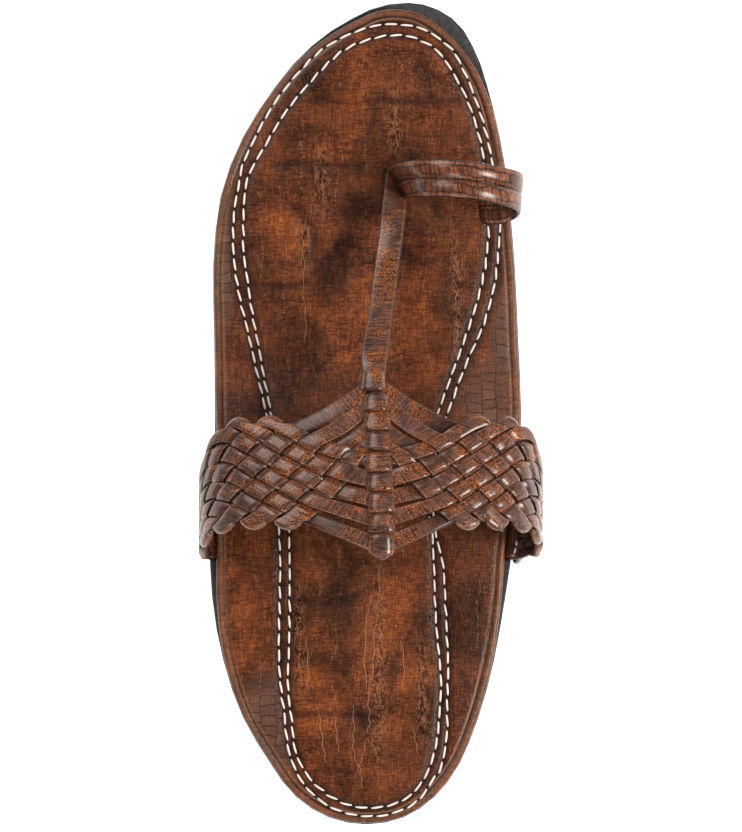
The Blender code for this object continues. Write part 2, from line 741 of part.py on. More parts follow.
def make_sandal():
    clear_scene()
    shoe = bpy.data.collections.new("sandal")
    bpy.context.scene.collection.children.link(shoe)
    cutter_sets = {}
    for name in ("rubber_cuts", "footbed_cuts", "upper_joins"):
        cutter_sets[name] = bpy.data.collections.new(name)
        bpy.context.scene.collection.children.link(cutter_sets[name])

    rubber = new_material("charcoal_rubber", (0.018, 0.018, 0.017), 0.8)
    cover = new_material("footbed_leather", (0.16, 0.055, 0.022), 0.4)
    weave = new_material("strap_leather", (0.14, 0.06, 0.035), 0.45)
    loop_leather = new_material("loop_leather", (0.13, 0.055, 0.033), 0.4)

    outsole = new_piece("outsole", slab(RUBBER_RINGS, 1.0, floor_gap, rubber_top, 0.0), shoe, rubber)
    footbed_mesh = slab(FOOTBED_RINGS, 0.0, footbed_under, footbed_top, FOOTBED_CROWN)
    footbed = new_piece("footbed", footbed_mesh, shoe, cover)

    tail_y = SOLE_LENGTH / 2 * TAIL_ALONG
    recess = TAB_THICK + FIT_GAP
    for side in (-1, 1):
        seat, heading = tab_seat(side)
        half = heading * (TAB_WIDTH / 2 + FIT_GAP)
        level = rubber_top(tail_y) - recess + TAB_WIDTH / 2
        inside = Vector((seat - side * (TUCK + FIT_GAP), tail_y, level))
        outside = Vector((seat + side * 2 * RUBBER_LIP, tail_y, level))
        cut = strap([(inside, half, TAB_WIDTH), (outside, half, TAB_WIDTH)])
        new_piece(f"tab_recess_{side}", cut, cutter_sets["rubber_cuts"])
    boolean(outsole, "DIFFERENCE", cutter_sets["rubber_cuts"])

    widths = {
        "toe": (TOE_SLIT, THONG_THICK + LOOP_THICK + 3 * FIT_GAP),
        "edge": (EDGE_SLIT, LOOP_THICK + 2 * FIT_GAP),
    }
    for name, (slit, width) in widths.items():
        place, _ = slit_place(slit, 0.0)
        centre = (place.x, place.y, footbed_under(place.y) + FOOTBED_THICK / 2)
        size = (LOOP_WIDTH + 2 * FIT_GAP, width, 4 * FOOTBED_THICK)
        box_cutter(f"{name}_slit", cutter_sets["footbed_cuts"], centre, size, slit.angle)
    boolean(footbed, "DIFFERENCE", cutter_sets["footbed_cuts"])

    upper = new_piece("upper", spine_shape(), shoe, weave)
    new_piece("thong", thong_shape(), cutter_sets["upper_joins"])
    for side in (-1, 1):
        weave_wall(side, cutter_sets["upper_joins"])
        tab(side, cutter_sets["upper_joins"])
        for number, start in enumerate(STARTS):
            fan_strip(side, number, start, cutter_sets["upper_joins"])
    boolean(upper, "UNION", cutter_sets["upper_joins"])

    new_piece("toe_loop", loop_shape(), shoe, loop_leather)


make_sandal()
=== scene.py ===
import math

import bmesh
import bpy
import numpy as np
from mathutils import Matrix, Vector
from mathutils.bvhtree import BVHTree
from mathutils.kdtree import KDTree


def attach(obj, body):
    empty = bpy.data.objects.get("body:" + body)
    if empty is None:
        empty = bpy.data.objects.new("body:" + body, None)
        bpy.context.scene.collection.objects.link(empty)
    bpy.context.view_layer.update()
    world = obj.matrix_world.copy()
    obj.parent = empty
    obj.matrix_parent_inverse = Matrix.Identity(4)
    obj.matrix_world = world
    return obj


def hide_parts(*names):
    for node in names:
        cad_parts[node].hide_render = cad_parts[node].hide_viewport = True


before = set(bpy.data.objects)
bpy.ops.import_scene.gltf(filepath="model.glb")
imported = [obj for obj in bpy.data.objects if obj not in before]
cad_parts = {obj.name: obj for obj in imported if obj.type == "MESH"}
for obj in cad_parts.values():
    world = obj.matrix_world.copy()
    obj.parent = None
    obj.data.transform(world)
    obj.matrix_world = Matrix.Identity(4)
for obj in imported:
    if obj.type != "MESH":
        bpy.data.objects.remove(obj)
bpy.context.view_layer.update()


# Studio. The shoe stands on a white light table between three soft boxes, and the camera hangs
# straight above it, as in the photograph. None of this is part of the shoe.
def to_linear(hex_colour):
    """An sRGB hex colour as linear RGBA."""
    parts = [int(hex_colour[i : i + 2], 16) / 255 for i in (1, 3, 5)]
    return [p / 12.92 if p <= 0.04045 else ((p + 0.055) / 1.055) ** 2.4 for p in parts] + [1.0]


def add_node(tree, kind, inputs=None, stops=None, **settings):
    """Adds a node: its settings, its inputs as values or links, and a ramp's colour stops."""
    node = tree.nodes.new(kind)
    for name, value in settings.items():
        setattr(node, name, value)
    for name, value in (inputs or {}).items():
        if isinstance(value, bpy.types.NodeSocket):
            tree.links.new(value, node.inputs[name])
        else:
            node.inputs[name].default_value = value
    for number, (place, hex_colour) in enumerate(stops or []):
        ramp = node.color_ramp.elements
        stop = ramp[number] if number < 2 else ramp.new(place)
        stop.position, stop.color = place, to_linear(hex_colour)
    return node


def new_finish(name):
    """A material whose Principled shader is still to be wired."""
    finish = bpy.data.materials.new(name)
    finish.use_nodes = True
    return finish, finish.node_tree, finish.node_tree.nodes["Principled BSDF"]


FLOOR_SIZE = 6.0
FLOOR_DROP = 0.0002
bpy.ops.object.select_all(action="DESELECT")
bpy.ops.mesh.primitive_plane_add(size=FLOOR_SIZE, location=(0.0, 0.0, -FLOOR_DROP))
floor = bpy.context.object
floor.name = "light_table"
bpy.ops.object.transform_apply(location=True, rotation=False, scale=False)
paper, tree, shader = new_finish("matt_white_acrylic_lit_from_below")
shader.inputs["Base Color"].default_value = to_linear("#f6f6f6")
shader.inputs["Roughness"].default_value = 0.9
shader.inputs["Emission Color"].default_value = to_linear("#ffffff")
shader.inputs["Emission Strength"].default_value = 0.72
floor.data.materials.append(paper)

CAMERA_HEIGHT = 4.0
CAMERA_BACK = 0.0008
FOCUS_HEIGHT = 0.02
FRAME_HEIGHT = 0.2832
SENSOR_WIDTH = 36.0
bpy.ops.object.camera_add(location=(0.0, -CAMERA_BACK, CAMERA_HEIGHT), rotation=(0.0, 0.0, 0.0))
camera = bpy.context.object
camera.data.sensor_width = SENSOR_WIDTH
camera.data.lens = SENSOR_WIDTH * (CAMERA_HEIGHT - FOCUS_HEIGHT) / FRAME_HEIGHT
bpy.context.scene.camera = camera
bpy.context.scene.view_settings.view_transform = "Standard"

for name, place, size, power in (
    ("soft_box_key", (-0.75, 0.75, 1.20), 1.0, 13.2),
    ("soft_box_right", (1.00, -0.10, 1.00), 0.5, 18.4),
    ("soft_box_heel", (-0.25, -1.10, 1.10), 0.6, 6.6),
):
    bpy.ops.object.light_add(type="AREA", location=place)
    lamp = bpy.context.object
    lamp.name = name
    lamp.data.size = size
    lamp.data.energy = power
    lamp.data.color = to_linear("#fff7f1")[:3]
    lamp.rotation_euler = Vector(place).to_track_quat("Z", "Y").to_euler()

world = bpy.data.worlds.new("studio_air")
bpy.context.scene.world = world
world.use_nodes = True
air = world.node_tree.nodes["Background"]
air.inputs["Color"].default_value = to_linear("#ffffff")
air.inputs["Strength"].default_value = 0.07


# Outsole: one moulded slab of charcoal crumb rubber. It is matt and pitted, a little paler where
# the light grazes its grain, and its underside carries a fine cut tread.
rubber, tree, shader = new_finish("moulded_crumb_rubber")
place = add_node(tree, "ShaderNodeTexCoord").outputs["Object"]
crumb = add_node(tree, "ShaderNodeTexVoronoi", {"Vector": place, "Scale": 900.0})
dust = add_node(
    tree, "ShaderNodeTexNoise", {"Vector": place, "Scale": 420.0, "Detail": 6.0, "Roughness": 0.8}
)
tone = add_node(
    tree, "ShaderNodeValToRGB",
    {"Fac": dust.outputs["Fac"]},
    stops=[(0.35, "#232426"), (0.65, "#4a4b4d")],
)
tree.links.new(tone.outputs["Color"], shader.inputs["Base Color"])
shader.inputs["Roughness"].default_value = 0.78
pits = add_node(
    tree, "ShaderNodeBump",
    {"Height": crumb.outputs["Distance"], "Strength": 0.5, "Distance": 0.0004},
)
# The tread's ribs run across the sole, 8 mm apart, and only where the rubber faces the floor.
ribs = add_node(
    tree, "ShaderNodeTexWave",
    {"Vector": place, "Scale": 40.0, "Distortion": 3.0, "Detail": 1.0, "Detail Scale": 3.0},
    bands_direction="Y",
)
facing = add_node(
    tree, "ShaderNodeSeparateXYZ", {0: add_node(tree, "ShaderNodeNewGeometry").outputs["Normal"]}
)
under = add_node(tree, "ShaderNodeMath", {0: facing.outputs["Z"], 1: -0.9}, operation="LESS_THAN")
tread = add_node(
    tree, "ShaderNodeMath", {0: ribs.outputs["Fac"], 1: under.outputs[0]}, operation="MULTIPLY"
)
cut = add_node(
    tree, "ShaderNodeBump",
    {
        "Height": tread.outputs[0], "Strength": 1.0, "Distance": 0.0012,
        "Normal": pits.outputs["Normal"],
    },
)
tree.links.new(cut.outputs["Normal"], shader.inputs["Normal"])
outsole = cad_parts["outsole"]
outsole.data.materials.clear()
outsole.data.materials.append(rubber)


# Footbed: a board with a thin pad, wrapped in one sheet of embossed, marbled leather whose rim is
# folded under. Two seams press a channel into it all round.
MM = 0.001
SOLE_LENGTH = 280 * MM
SOLE_WIDTH = 107 * MM
HEEL_HEIGHT = 16 * MM
FIT_GAP = 0.3 * MM
FOOTBED_THICK = 4 * MM
# Across and along, as shares of half the width and half the length, from the toe's tip clockwise.
OUTLINE = [
    (0.165, 0.984), (0.29, 0.976), (0.475, 0.931), (0.635, 0.860), (0.75, 0.770), (0.83, 0.648),
    (0.90, 0.420), (0.935, 0.165), (0.95, -0.015), (0.915, -0.165), (0.86, -0.315), (0.825, -0.475),
    (0.75, -0.645), (0.66, -0.760), (0.545, -0.861), (0.38, -0.938), (0.20, -0.981),
    (-0.03, -0.996), (-0.29, -0.976), (-0.485, -0.927), (-0.66, -0.837), (-0.825, -0.728),
    (-0.925, -0.612), (-0.98, -0.477), (-0.985, -0.355), (-0.985, -0.064), (-0.995, 0.180),
    (-1.00, 0.385), (-0.95, 0.538), (-0.845, 0.648), (-0.66, 0.767), (-0.42, 0.875), (-0.26, 0.921),
    (-0.095, 0.956), (0.05, 0.980),
]
# Along, and the height of the rubber's top as a share of HEEL_HEIGHT.
SIDE_VIEW = [
    (-1.0, 1.04), (-0.6, 1.0), (-0.42, 1.0), (-0.2, 1.0), (-0.02, 0.86), (0.14, 0.75), (0.45, 0.71),
    (0.65, 0.73), (0.82, 0.82), (1.0, 0.98),
]


def between(share, low, low_slope, high, high_slope):
    """A value on the smooth curve between two given ones that leaves each with its slope."""
    square, cube = share * share, share**3
    return (
        (2 * cube - 3 * square + 1) * low
        + (cube - 2 * square + share) * low_slope
        + (3 * square - 2 * cube) * high
        + (cube - square) * high_slope
    )


def smooth_path(points, steps, closed=False):
    """Points on a smooth curve through the given ones."""
    given = np.array(points, dtype=float)
    if closed:
        before, after = np.roll(given, 1, axis=0), np.roll(given, -1, axis=0)
    else:
        before = np.vstack([2 * given[0] - given[1], given[:-1]])
        after = np.vstack([given[1:], 2 * given[-1] - given[-2]])
    back = np.linalg.norm(given - before, axis=1)[:, None]
    ahead = np.linalg.norm(after - given, axis=1)[:, None]
    slope = ((given - before) / back * ahead + (after - given) / ahead * back) / (back + ahead)
    path = []
    for index in range(len(given) if closed else len(given) - 1):
        following = (index + 1) % len(given)
        length = np.linalg.norm(given[following] - given[index])
        leave, arrive = length * slope[index], length * slope[following]
        for step in range(steps):
            path.append(between(step / steps, given[index], leave, given[following], arrive))
    if not closed:
        path.append(given[-1])
    return np.array(path)


def clamp(value, low=0.0, high=1.0):
    return min(max(value, low), high)


def rubber_top(y):
    """Height of the rubber's top along the shoe, smooth, and flat between equal rows."""
    where, value = np.array(SIDE_VIEW).T
    step = np.diff(where)
    rise = np.diff(value) / step
    slope = np.zeros(len(where))
    for index in range(1, len(rise)):
        if rise[index - 1] * rise[index] > 0:
            slope[index] = 2 * rise[index - 1] * rise[index] / (rise[index - 1] + rise[index])
    slope[0], slope[-1] = rise[0], rise[-1]
    along = clamp(2 * y / SOLE_LENGTH, -1.0)
    index = clamp(int(np.searchsorted(where, along)) - 1, 0, len(step) - 1)
    share = (along - where[index]) / step[index]
    leave, arrive = step[index] * slope[index], step[index] * slope[index + 1]
    return HEEL_HEIGHT * between(share, value[index], leave, value[index + 1], arrive)


TOP_PLACES = np.linspace(-SOLE_LENGTH / 2, SOLE_LENGTH / 2, 1200)
TOP_HEIGHTS = np.array([rubber_top(y) for y in TOP_PLACES]) + FIT_GAP + FOOTBED_THICK


def footbed_top(y):
    return float(np.interp(y, TOP_PLACES, TOP_HEIGHTS))


edge = smooth_path([(a * SOLE_WIDTH / 2, b * SOLE_LENGTH / 2) for a, b in OUTLINE], 16, closed=True)
edge_heading = np.roll(edge, -1, axis=0) - np.roll(edge, 1, axis=0)
edge_heading /= np.linalg.norm(edge_heading, axis=1)[:, None]
edge_outward = np.column_stack([-edge_heading[:, 1], edge_heading[:, 0]])


def inset_sides(inset, stations):
    """Left and right side of the outline, moved in, at stations crowded towards heel and toe."""
    line = edge - edge_outward * inset
    toe, heel = int(np.argmax(line[:, 1])), int(np.argmin(line[:, 1]))
    turned = np.roll(line, -toe, axis=0)
    heel = (heel - toe) % len(line)
    right = turned[: heel + 1][::-1]
    left = np.vstack([turned[heel:], turned[:1]])
    low, high = left[0, 1], left[-1, 1]
    rows = []
    for station in range(stations + 1):
        y = (low + high) / 2 - (high - low) / 2 * math.cos(math.pi * station / stations)
        rows.append(
            (np.interp(y, left[:, 1], left[:, 0]), np.interp(y, right[:, 1], right[:, 0]), y)
        )
    return rows


# The seams, through places read off the photograph in its pixels, which one scale turns to metres.
PIXEL = 0.3404 * MM
MIDDLE_X, MIDDLE_Y = 176, 413.7
OUTER_SEAM = [
    (196, 24), (215, 25.5), (232, 31), (246, 39.5), (258, 51), (270, 73), (279, 95), (291, 132),
    (297, 161), (304, 205), (305, 225), (303.5, 252), (300, 282), (293.5, 309), (284, 336),
    (276, 352), (265, 380), (257.5, 400), (247, 430), (240, 460), (238, 495), (241, 534),
    (248, 567), (250, 600), (251.5, 628), (253, 667), (252, 702), (251, 740), (244, 771),
    (235, 784), (225, 799), (201, 812), (184, 816), (166, 816), (147, 812), (130, 804), (106, 780),
    (95, 756), (89, 711), (85, 680), (84, 655), (84.5, 600), (85, 565), (84, 531), (82, 495),
    (78, 450), (71, 412), (63, 377), (57.5, 352), (51, 325), (43.5, 292), (39, 263), (38, 240),
    (39, 213), (43.5, 184), (47, 166), (55, 148), (71, 116), (95, 82), (125, 51), (150, 36),
    (173, 27.5),
]
INNER_SEAM = [
    (201, 35), (222, 38.5), (239, 48), (249, 58), (256, 69), (264.5, 84), (272, 99), (283, 132),
    (289, 161), (292, 195), (293.5, 230), (291.5, 257), (287, 282), (278.5, 314), (267, 346),
    (257.5, 372), (247.5, 400), (237, 430), (231, 460), (231, 495), (237, 534), (239, 572),
    (240, 605), (242, 638), (246, 678), (245.5, 700), (244, 718), (239, 754), (227, 782),
    (218, 793), (206, 801), (190, 806), (173, 808), (157, 806), (142, 800), (116, 780), (102, 756),
    (96, 716), (93, 688), (93.5, 655), (94.5, 600), (94.5, 565), (93.5, 531), (91, 495), (86, 450),
    (76, 412), (69.5, 380), (64.5, 352), (56, 306), (52.5, 280), (48.5, 254), (48, 232),
    (48.5, 213), (53, 177), (60, 162), (69, 147), (87, 117), (106, 92), (126, 70), (147, 51),
    (165, 42.5), (183, 37),
]


def from_photo(x, y):
    """A place in the photograph, in pixels, as metres on the shoe."""
    return (x - MIDDLE_X) * PIXEL, (MIDDLE_Y - y) * PIXEL


def tree_of(points):
    """A search tree for the nearest of some places."""
    tree = KDTree(len(points))
    for number, point in enumerate(points):
        tree.insert((point[0], point[1], 0.0), number)
    tree.balance()
    return tree


def distance(tree, x, y):
    return tree.find((x, y, 0.0))[2]


def bell(far, reach):
    """From 1 at the middle down to 0, a third of it at its reach."""
    return math.exp(-((far / reach) ** 2))


outer_line = smooth_path([from_photo(*p) for p in OUTER_SEAM], 10, closed=True)
inner_line = smooth_path([from_photo(*p) for p in INNER_SEAM], 10, closed=True)
seam_tree = tree_of(np.vstack([outer_line, inner_line]))
edge_tree = tree_of(edge)
# Creases that walking has pressed across the leather, also in the photograph's pixels.
CREASES = [
    [(118, 98), (150, 103), (185, 100), (225, 102), (262, 99)],
    [(78, 166), (110, 163), (140, 166), (168, 165)],
    [(186, 98), (210, 101), (236, 96)],
    [(62, 284), (88, 287), (112, 283)],
    [(206, 252), (228, 262), (250, 257)],
    [(222, 62), (240, 78), (252, 74)],
    [(96, 205), (112, 218), (120, 240), (112, 262)],
    [(140, 246), (150, 262), (146, 286)],
    [(102, 716), (140, 714), (180, 717)],
    [(120, 771), (140, 770), (156, 773)],
    [(108, 600), (130, 604), (150, 600)],
]
creases = [smooth_path([from_photo(*p) for p in line], 24) for line in CREASES]
crease_tree = tree_of(np.vstack(creases))

CROWN = 1.2 * MM
CROWN_SHARE = 0.75
CROWN_RUN = 9 * MM
FACE_SINK = 0.45 * MM
BEAD_HEIGHT, BEAD_IN, BEAD_REACH = 0.30 * MM, 1.2 * MM, 0.9 * MM
FOLD_DEPTH, FOLD_IN, FOLD_REACH = 0.35 * MM, 2.7 * MM, 0.45 * MM
EDGE_DROP, EDGE_RUN = 1.0 * MM, 0.45 * MM
CREASE_DEPTH, CREASE_REACH = 0.22 * MM, 1.1 * MM
CHANNEL_DEPTH, CHANNEL_REACH = 0.35 * MM, 1.5 * MM


def footbed_face(x, y):
    """Height of the leather: crowned across, bead at the rim and a channel along each seam."""
    edge_far = distance(edge_tree, x, y)
    height = footbed_top(y) - FACE_SINK
    height += CROWN * CROWN_SHARE * (1 - math.exp(-edge_far / CROWN_RUN))
    height += BEAD_HEIGHT * bell(edge_far - BEAD_IN, BEAD_REACH)
    height -= FOLD_DEPTH * bell(edge_far - FOLD_IN, FOLD_REACH)
    height -= EDGE_DROP * math.exp(-edge_far / EDGE_RUN)
    height -= CREASE_DEPTH * bell(distance(crease_tree, x, y), CREASE_REACH)
    return height - CHANNEL_DEPTH * bell(distance(seam_tree, x, y), CHANNEL_REACH)


WELD = 0.002 * MM


def new_marks(shape, names):
    """Layers that keep, for each point, what the finish reads there."""
    return [shape.verts.layers.float.new(name) for name in names]


def skin(shape, rings, lids=True):
    """Walls from each ring of points to the next, and a lid at both ends."""
    for near, far in zip(rings, rings[1:]):
        for index in range(len(near)):
            after = (index + 1) % len(near)
            shape.faces.new((near[index], near[after], far[after], far[index]))
    if lids:
        shape.faces.new(rings[0][::-1])
        shape.faces.new(rings[-1])


def mesh_piece(name, shape, finish):
    """An object at the origin from a bmesh, with its faces turned outwards."""
    bmesh.ops.remove_doubles(shape, verts=shape.verts, dist=WELD)
    bmesh.ops.dissolve_degenerate(shape, edges=shape.edges, dist=WELD)
    bmesh.ops.recalc_face_normals(shape, faces=shape.faces)
    mesh = bpy.data.meshes.new(name)
    shape.to_mesh(mesh)
    shape.free()
    mesh.shade_smooth()
    piece = bpy.data.objects.new(name, mesh)
    bpy.context.scene.collection.objects.link(piece)
    mesh.materials.append(finish)
    return piece


MULTIPLY = {"data_type": "RGBA", "blend_type": "MULTIPLY"}
leather, tree, shader = new_finish("embossed_marbled_footbed_leather")
place = add_node(tree, "ShaderNodeTexCoord").outputs["Object"]
# Marbling: burnt orange clouds and darker smudges. The big ones lie where "patch" puts them, and
# noise breaks their outlines. One dark patch is painted shadow under the toe loop.
cloud = add_node(
    tree, "ShaderNodeTexNoise",
    {"Vector": place, "Scale": 42.0, "Detail": 7.0, "Roughness": 0.62, "Distortion": 1.0},
)
patch = add_node(tree, "ShaderNodeAttribute", attribute_name="patch").outputs["Fac"]
clouded = add_node(
    tree, "ShaderNodeMath", {0: patch, 1: 0.16, 2: cloud.outputs["Fac"]}, operation="MULTIPLY_ADD"
)
marble = add_node(
    tree, "ShaderNodeValToRGB",
    {"Fac": clouded.outputs[0]},
    stops=[(0.33, "#593219"), (0.68, "#ae612b"), (0.44, "#764323"), (0.54, "#8a4b26")],
)
colour = marble.outputs["Color"]
# Fibres under half a millimetre wide, along the shoe and across it, where the dye took unevenly.
fibres = []
for stretch in ((6.0, 0.8, 1.0), (1.0, 5.0, 1.0)):
    drawn = add_node(tree, "ShaderNodeMapping", {"Vector": place, "Scale": stretch})
    fibre = add_node(
        tree, "ShaderNodeTexNoise",
        {"Vector": drawn.outputs[0], "Scale": 330.0, "Detail": 4.0, "Roughness": 0.75},
    )
    veil = add_node(
        tree, "ShaderNodeValToRGB",
        {"Fac": fibre.outputs["Fac"]},
        stops=[(0.40, "#87695a"), (0.58, "#ffffff")],
    )
    colour = add_node(
        tree, "ShaderNodeMix", {"Factor": 0.7, "A": colour, "B": veil.outputs["Color"]}, **MULTIPLY
    ).outputs["Result"]
    fibres.append(fibre.outputs["Fac"])
# Craquelure: fine dark cells, about 2.3 mm across the shoe and 1.3 mm along it.
fine = add_node(tree, "ShaderNodeTexNoise", {"Vector": place, "Scale": 260.0, "Detail": 3.0})
bent = add_node(
    tree, "ShaderNodeVectorMath",
    {0: fine.outputs["Color"], 1: (0.0012, 0.0012, 0.0), 2: place},
    operation="MULTIPLY_ADD",
)
cells = add_node(tree, "ShaderNodeMapping", {"Vector": bent.outputs[0], "Scale": (0.7, 1.25, 1.0)})
cracks = add_node(
    tree, "ShaderNodeTexVoronoi",
    {"Vector": cells.outputs[0], "Scale": 620.0},
    feature="DISTANCE_TO_EDGE",
)
crackle = add_node(
    tree, "ShaderNodeValToRGB",
    {"Fac": cracks.outputs["Distance"]},
    stops=[(0.0, "#80624f"), (0.12, "#ffffff")],
)
patchy = add_node(tree, "ShaderNodeTexNoise", {"Vector": place, "Scale": 70.0, "Detail": 2.0})
some = add_node(
    tree, "ShaderNodeMapRange",
    {
        "Value": patchy.outputs["Fac"], "From Min": 0.42, "From Max": 0.60, "To Min": 0.15,
        "To Max": 0.8,
    },
)
colour = add_node(
    tree, "ShaderNodeMix",
    {"Factor": some.outputs[0], "A": colour, "B": crackle.outputs["Color"]},
    **MULTIPLY,
).outputs["Result"]
# The emboss's big scales: dark broken lines across the shoe, and thin pale ones along it, about
# 8 mm apart.
wide = add_node(tree, "ShaderNodeMapping", {"Vector": place, "Scale": (0.30, 2.6, 1.0)})
wave_wide = add_node(
    tree, "ShaderNodeTexNoise", {"Vector": wide.outputs[0], "Scale": 60.0, "Detail": 3.0}
)
dark_line = add_node(
    tree, "ShaderNodeValToRGB",
    {"Fac": wave_wide.outputs["Fac"]},
    stops=[(0.49, "#000000"), (0.51, "#000000"), (0.5, "#ffffff")],
).outputs["Color"]
dark_share = add_node(
    tree, "ShaderNodeMath", {0: dark_line, 1: some.outputs[0]}, operation="MULTIPLY"
)
colour = add_node(
    tree, "ShaderNodeMix",
    {"Factor": dark_share.outputs[0], "A": colour, "B": to_linear("#4a3023")},
    **MULTIPLY,
).outputs["Result"]
columns = add_node(
    tree, "ShaderNodeTexWave",
    {"Vector": place, "Scale": 38.0, "Distortion": 7.0, "Detail": 3.0, "Detail Scale": 0.8},
    bands_direction="X",
)
pale_line = add_node(
    tree, "ShaderNodeValToRGB",
    {"Fac": columns.outputs["Fac"]},
    stops=[(0.993, "#000000"), (1.0, "#ffffff")],
).outputs["Color"]
broken = add_node(
    tree, "ShaderNodeMapRange",
    {"Value": fibres[1], "From Min": 0.46, "From Max": 0.58, "To Min": 0.0, "To Max": 0.4},
)
pale_share = add_node(
    tree, "ShaderNodeMath", {0: pale_line, 1: broken.outputs[0]}, operation="MULTIPLY"
)
colour = add_node(
    tree, "ShaderNodeMix",
    {"Factor": pale_share.outputs[0], "A": colour, "B": to_linear("#a9805f")},
    data_type="RGBA",
).outputs["Result"]
# Down the middle of the hide the grain is rough: dark pits between short pale ridges.
rough = add_node(tree, "ShaderNodeAttribute", attribute_name="rough").outputs["Fac"]
squeezed = add_node(tree, "ShaderNodeMapping", {"Vector": place, "Scale": (1.6, 0.7, 1.0)})
curls = add_node(
    tree, "ShaderNodeTexNoise",
    {"Vector": squeezed.outputs[0], "Scale": 600.0, "Detail": 2.0, "Distortion": 0.8},
)
pitted = add_node(
    tree, "ShaderNodeValToRGB",
    {"Fac": curls.outputs["Fac"]},
    stops=[(0.38, "#5a3a28"), (0.48, "#ffffff")],
)
colour = add_node(
    tree, "ShaderNodeMix", {"Factor": rough, "A": colour, "B": pitted.outputs["Color"]}, **MULTIPLY
).outputs["Result"]
curl_line = add_node(
    tree, "ShaderNodeValToRGB",
    {"Fac": curls.outputs["Fac"]},
    stops=[(0.50, "#000000"), (0.60, "#000000"), (0.55, "#ffffff")],
).outputs["Color"]
curl_share = add_node(tree, "ShaderNodeMath", {0: curl_line, 1: rough}, operation="MULTIPLY")
colour = add_node(
    tree, "ShaderNodeMix",
    {"Factor": curl_share.outputs[0], "A": colour, "B": to_linear("#a9795a")},
    data_type="RGBA",
).outputs["Result"]
# Flanks: on the slopes beside the seams the emboss is columns of faint scales, about 5 mm wide and
# 3.4 mm long, under a grey painted sheen.
flank = add_node(tree, "ShaderNodeAttribute", attribute_name="flank").outputs["Fac"]
nudged = add_node(
    tree, "ShaderNodeVectorMath",
    {0: patchy.outputs["Color"], 1: (0.004, 0.007, 0.0), 2: bent.outputs[0]},
    operation="MULTIPLY_ADD",
)
turned = add_node(
    tree, "ShaderNodeMapping", {"Vector": nudged.outputs[0], "Rotation": (0.0, 0.0, math.pi / 2)}
)
scales = add_node(
    tree, "ShaderNodeTexBrick",
    {
        "Vector": turned.outputs[0], "Color1": to_linear("#ffffff"), "Color2": to_linear("#cfc0b6"),
        "Mortar": to_linear("#765a4a"), "Scale": 250.0, "Mortar Size": 0.05, "Mortar Smooth": 0.7,
        "Brick Width": 0.85, "Row Height": 1.25,
    },
    offset=0.4,
    squash=1.35,
    squash_frequency=3,
)
# Painted sheen: the flanks are mixed towards grey.
sheen_share = add_node(tree, "ShaderNodeMath", {0: flank, 1: 0.65}, operation="MULTIPLY")
toned = add_node(
    tree, "ShaderNodeMix",
    {"Factor": sheen_share.outputs[0], "A": colour, "B": to_linear("#745d51")},
    data_type="RGBA",
).outputs["Result"]
colour = add_node(
    tree, "ShaderNodeMix", {"Factor": flank, "A": toned, "B": scales.outputs["Color"]}, **MULTIPLY
).outputs["Result"]
# Painted shade darkens the seam channels, creases and rim fold. The bead's crest is paler, partly
# from wear and partly as painted highlight.
for name, hex_colour in (("seam", "#7a655a"), ("crease", "#80695c"), ("fold", "#6b554a")):
    mask = add_node(tree, "ShaderNodeAttribute", attribute_name=name).outputs["Fac"]
    colour = add_node(
        tree, "ShaderNodeMix", {"Factor": mask, "A": colour, "B": to_linear(hex_colour)}, **MULTIPLY
    ).outputs["Result"]
crest = add_node(tree, "ShaderNodeAttribute", attribute_name="crest").outputs["Fac"]
crest_share = add_node(tree, "ShaderNodeMath", {0: crest, 1: fibres[1]}, operation="MULTIPLY")
colour = add_node(
    tree, "ShaderNodeMix",
    {"Factor": crest_share.outputs[0], "A": colour, "B": to_linear("#a97c5f")},
    data_type="RGBA",
).outputs["Result"]
tree.links.new(colour, shader.inputs["Base Color"])
gloss = add_node(
    tree, "ShaderNodeMapRange",
    {
        "Value": cloud.outputs["Fac"], "From Min": 0.35, "From Max": 0.65, "To Min": 0.26,
        "To Max": 0.38,
    },
)
tree.links.new(gloss.outputs[0], shader.inputs["Roughness"])
shader.inputs["Specular IOR Level"].default_value = 0.3
shader.inputs["Coat Weight"].default_value = 0.08
shader.inputs["Coat Roughness"].default_value = 0.16
emboss = add_node(
    tree, "ShaderNodeBump",
    {"Height": cracks.outputs["Distance"], "Strength": 0.35, "Distance": 0.0003},
)
grid_height = add_node(
    tree, "ShaderNodeMath", {0: scales.outputs["Fac"], 1: flank}, operation="MULTIPLY"
).outputs[0]
scaled = add_node(
    tree, "ShaderNodeBump",
    {
        "Height": grid_height, "Strength": 0.6, "Distance": 0.0004,
        "Normal": emboss.outputs["Normal"],
    },
    invert=True,
)
soft = add_node(
    tree, "ShaderNodeBump",
    {"Height": fibres[0], "Strength": 0.3, "Distance": 0.0004, "Normal": scaled.outputs["Normal"]},
)
tree.links.new(soft.outputs["Normal"], shader.inputs["Normal"])

STATIONS = 330
ACROSS = 130
BELOW = 6
# Inset of each ring of the rim in millimetres, and its level, or None where it lies on the face.
RIM_RINGS = [
    (1.2, 0.0), (0.6, 0.06), (0.1, 0.2), (0.0, 0.45), (0.12, 0.72), (0.4, None), (0.9, None),
    (1.6, None),
]
# Where the lizard scales and their grey painted sheen show: the middle of each patch in the
# photograph's pixels, and its reach.
FLANKS = [
    (307, 340, 10, 50), (298, 400, 16, 45), (288, 430, 22, 60), (70, 738, 22, 60), (30, 262, 9, 60),
]
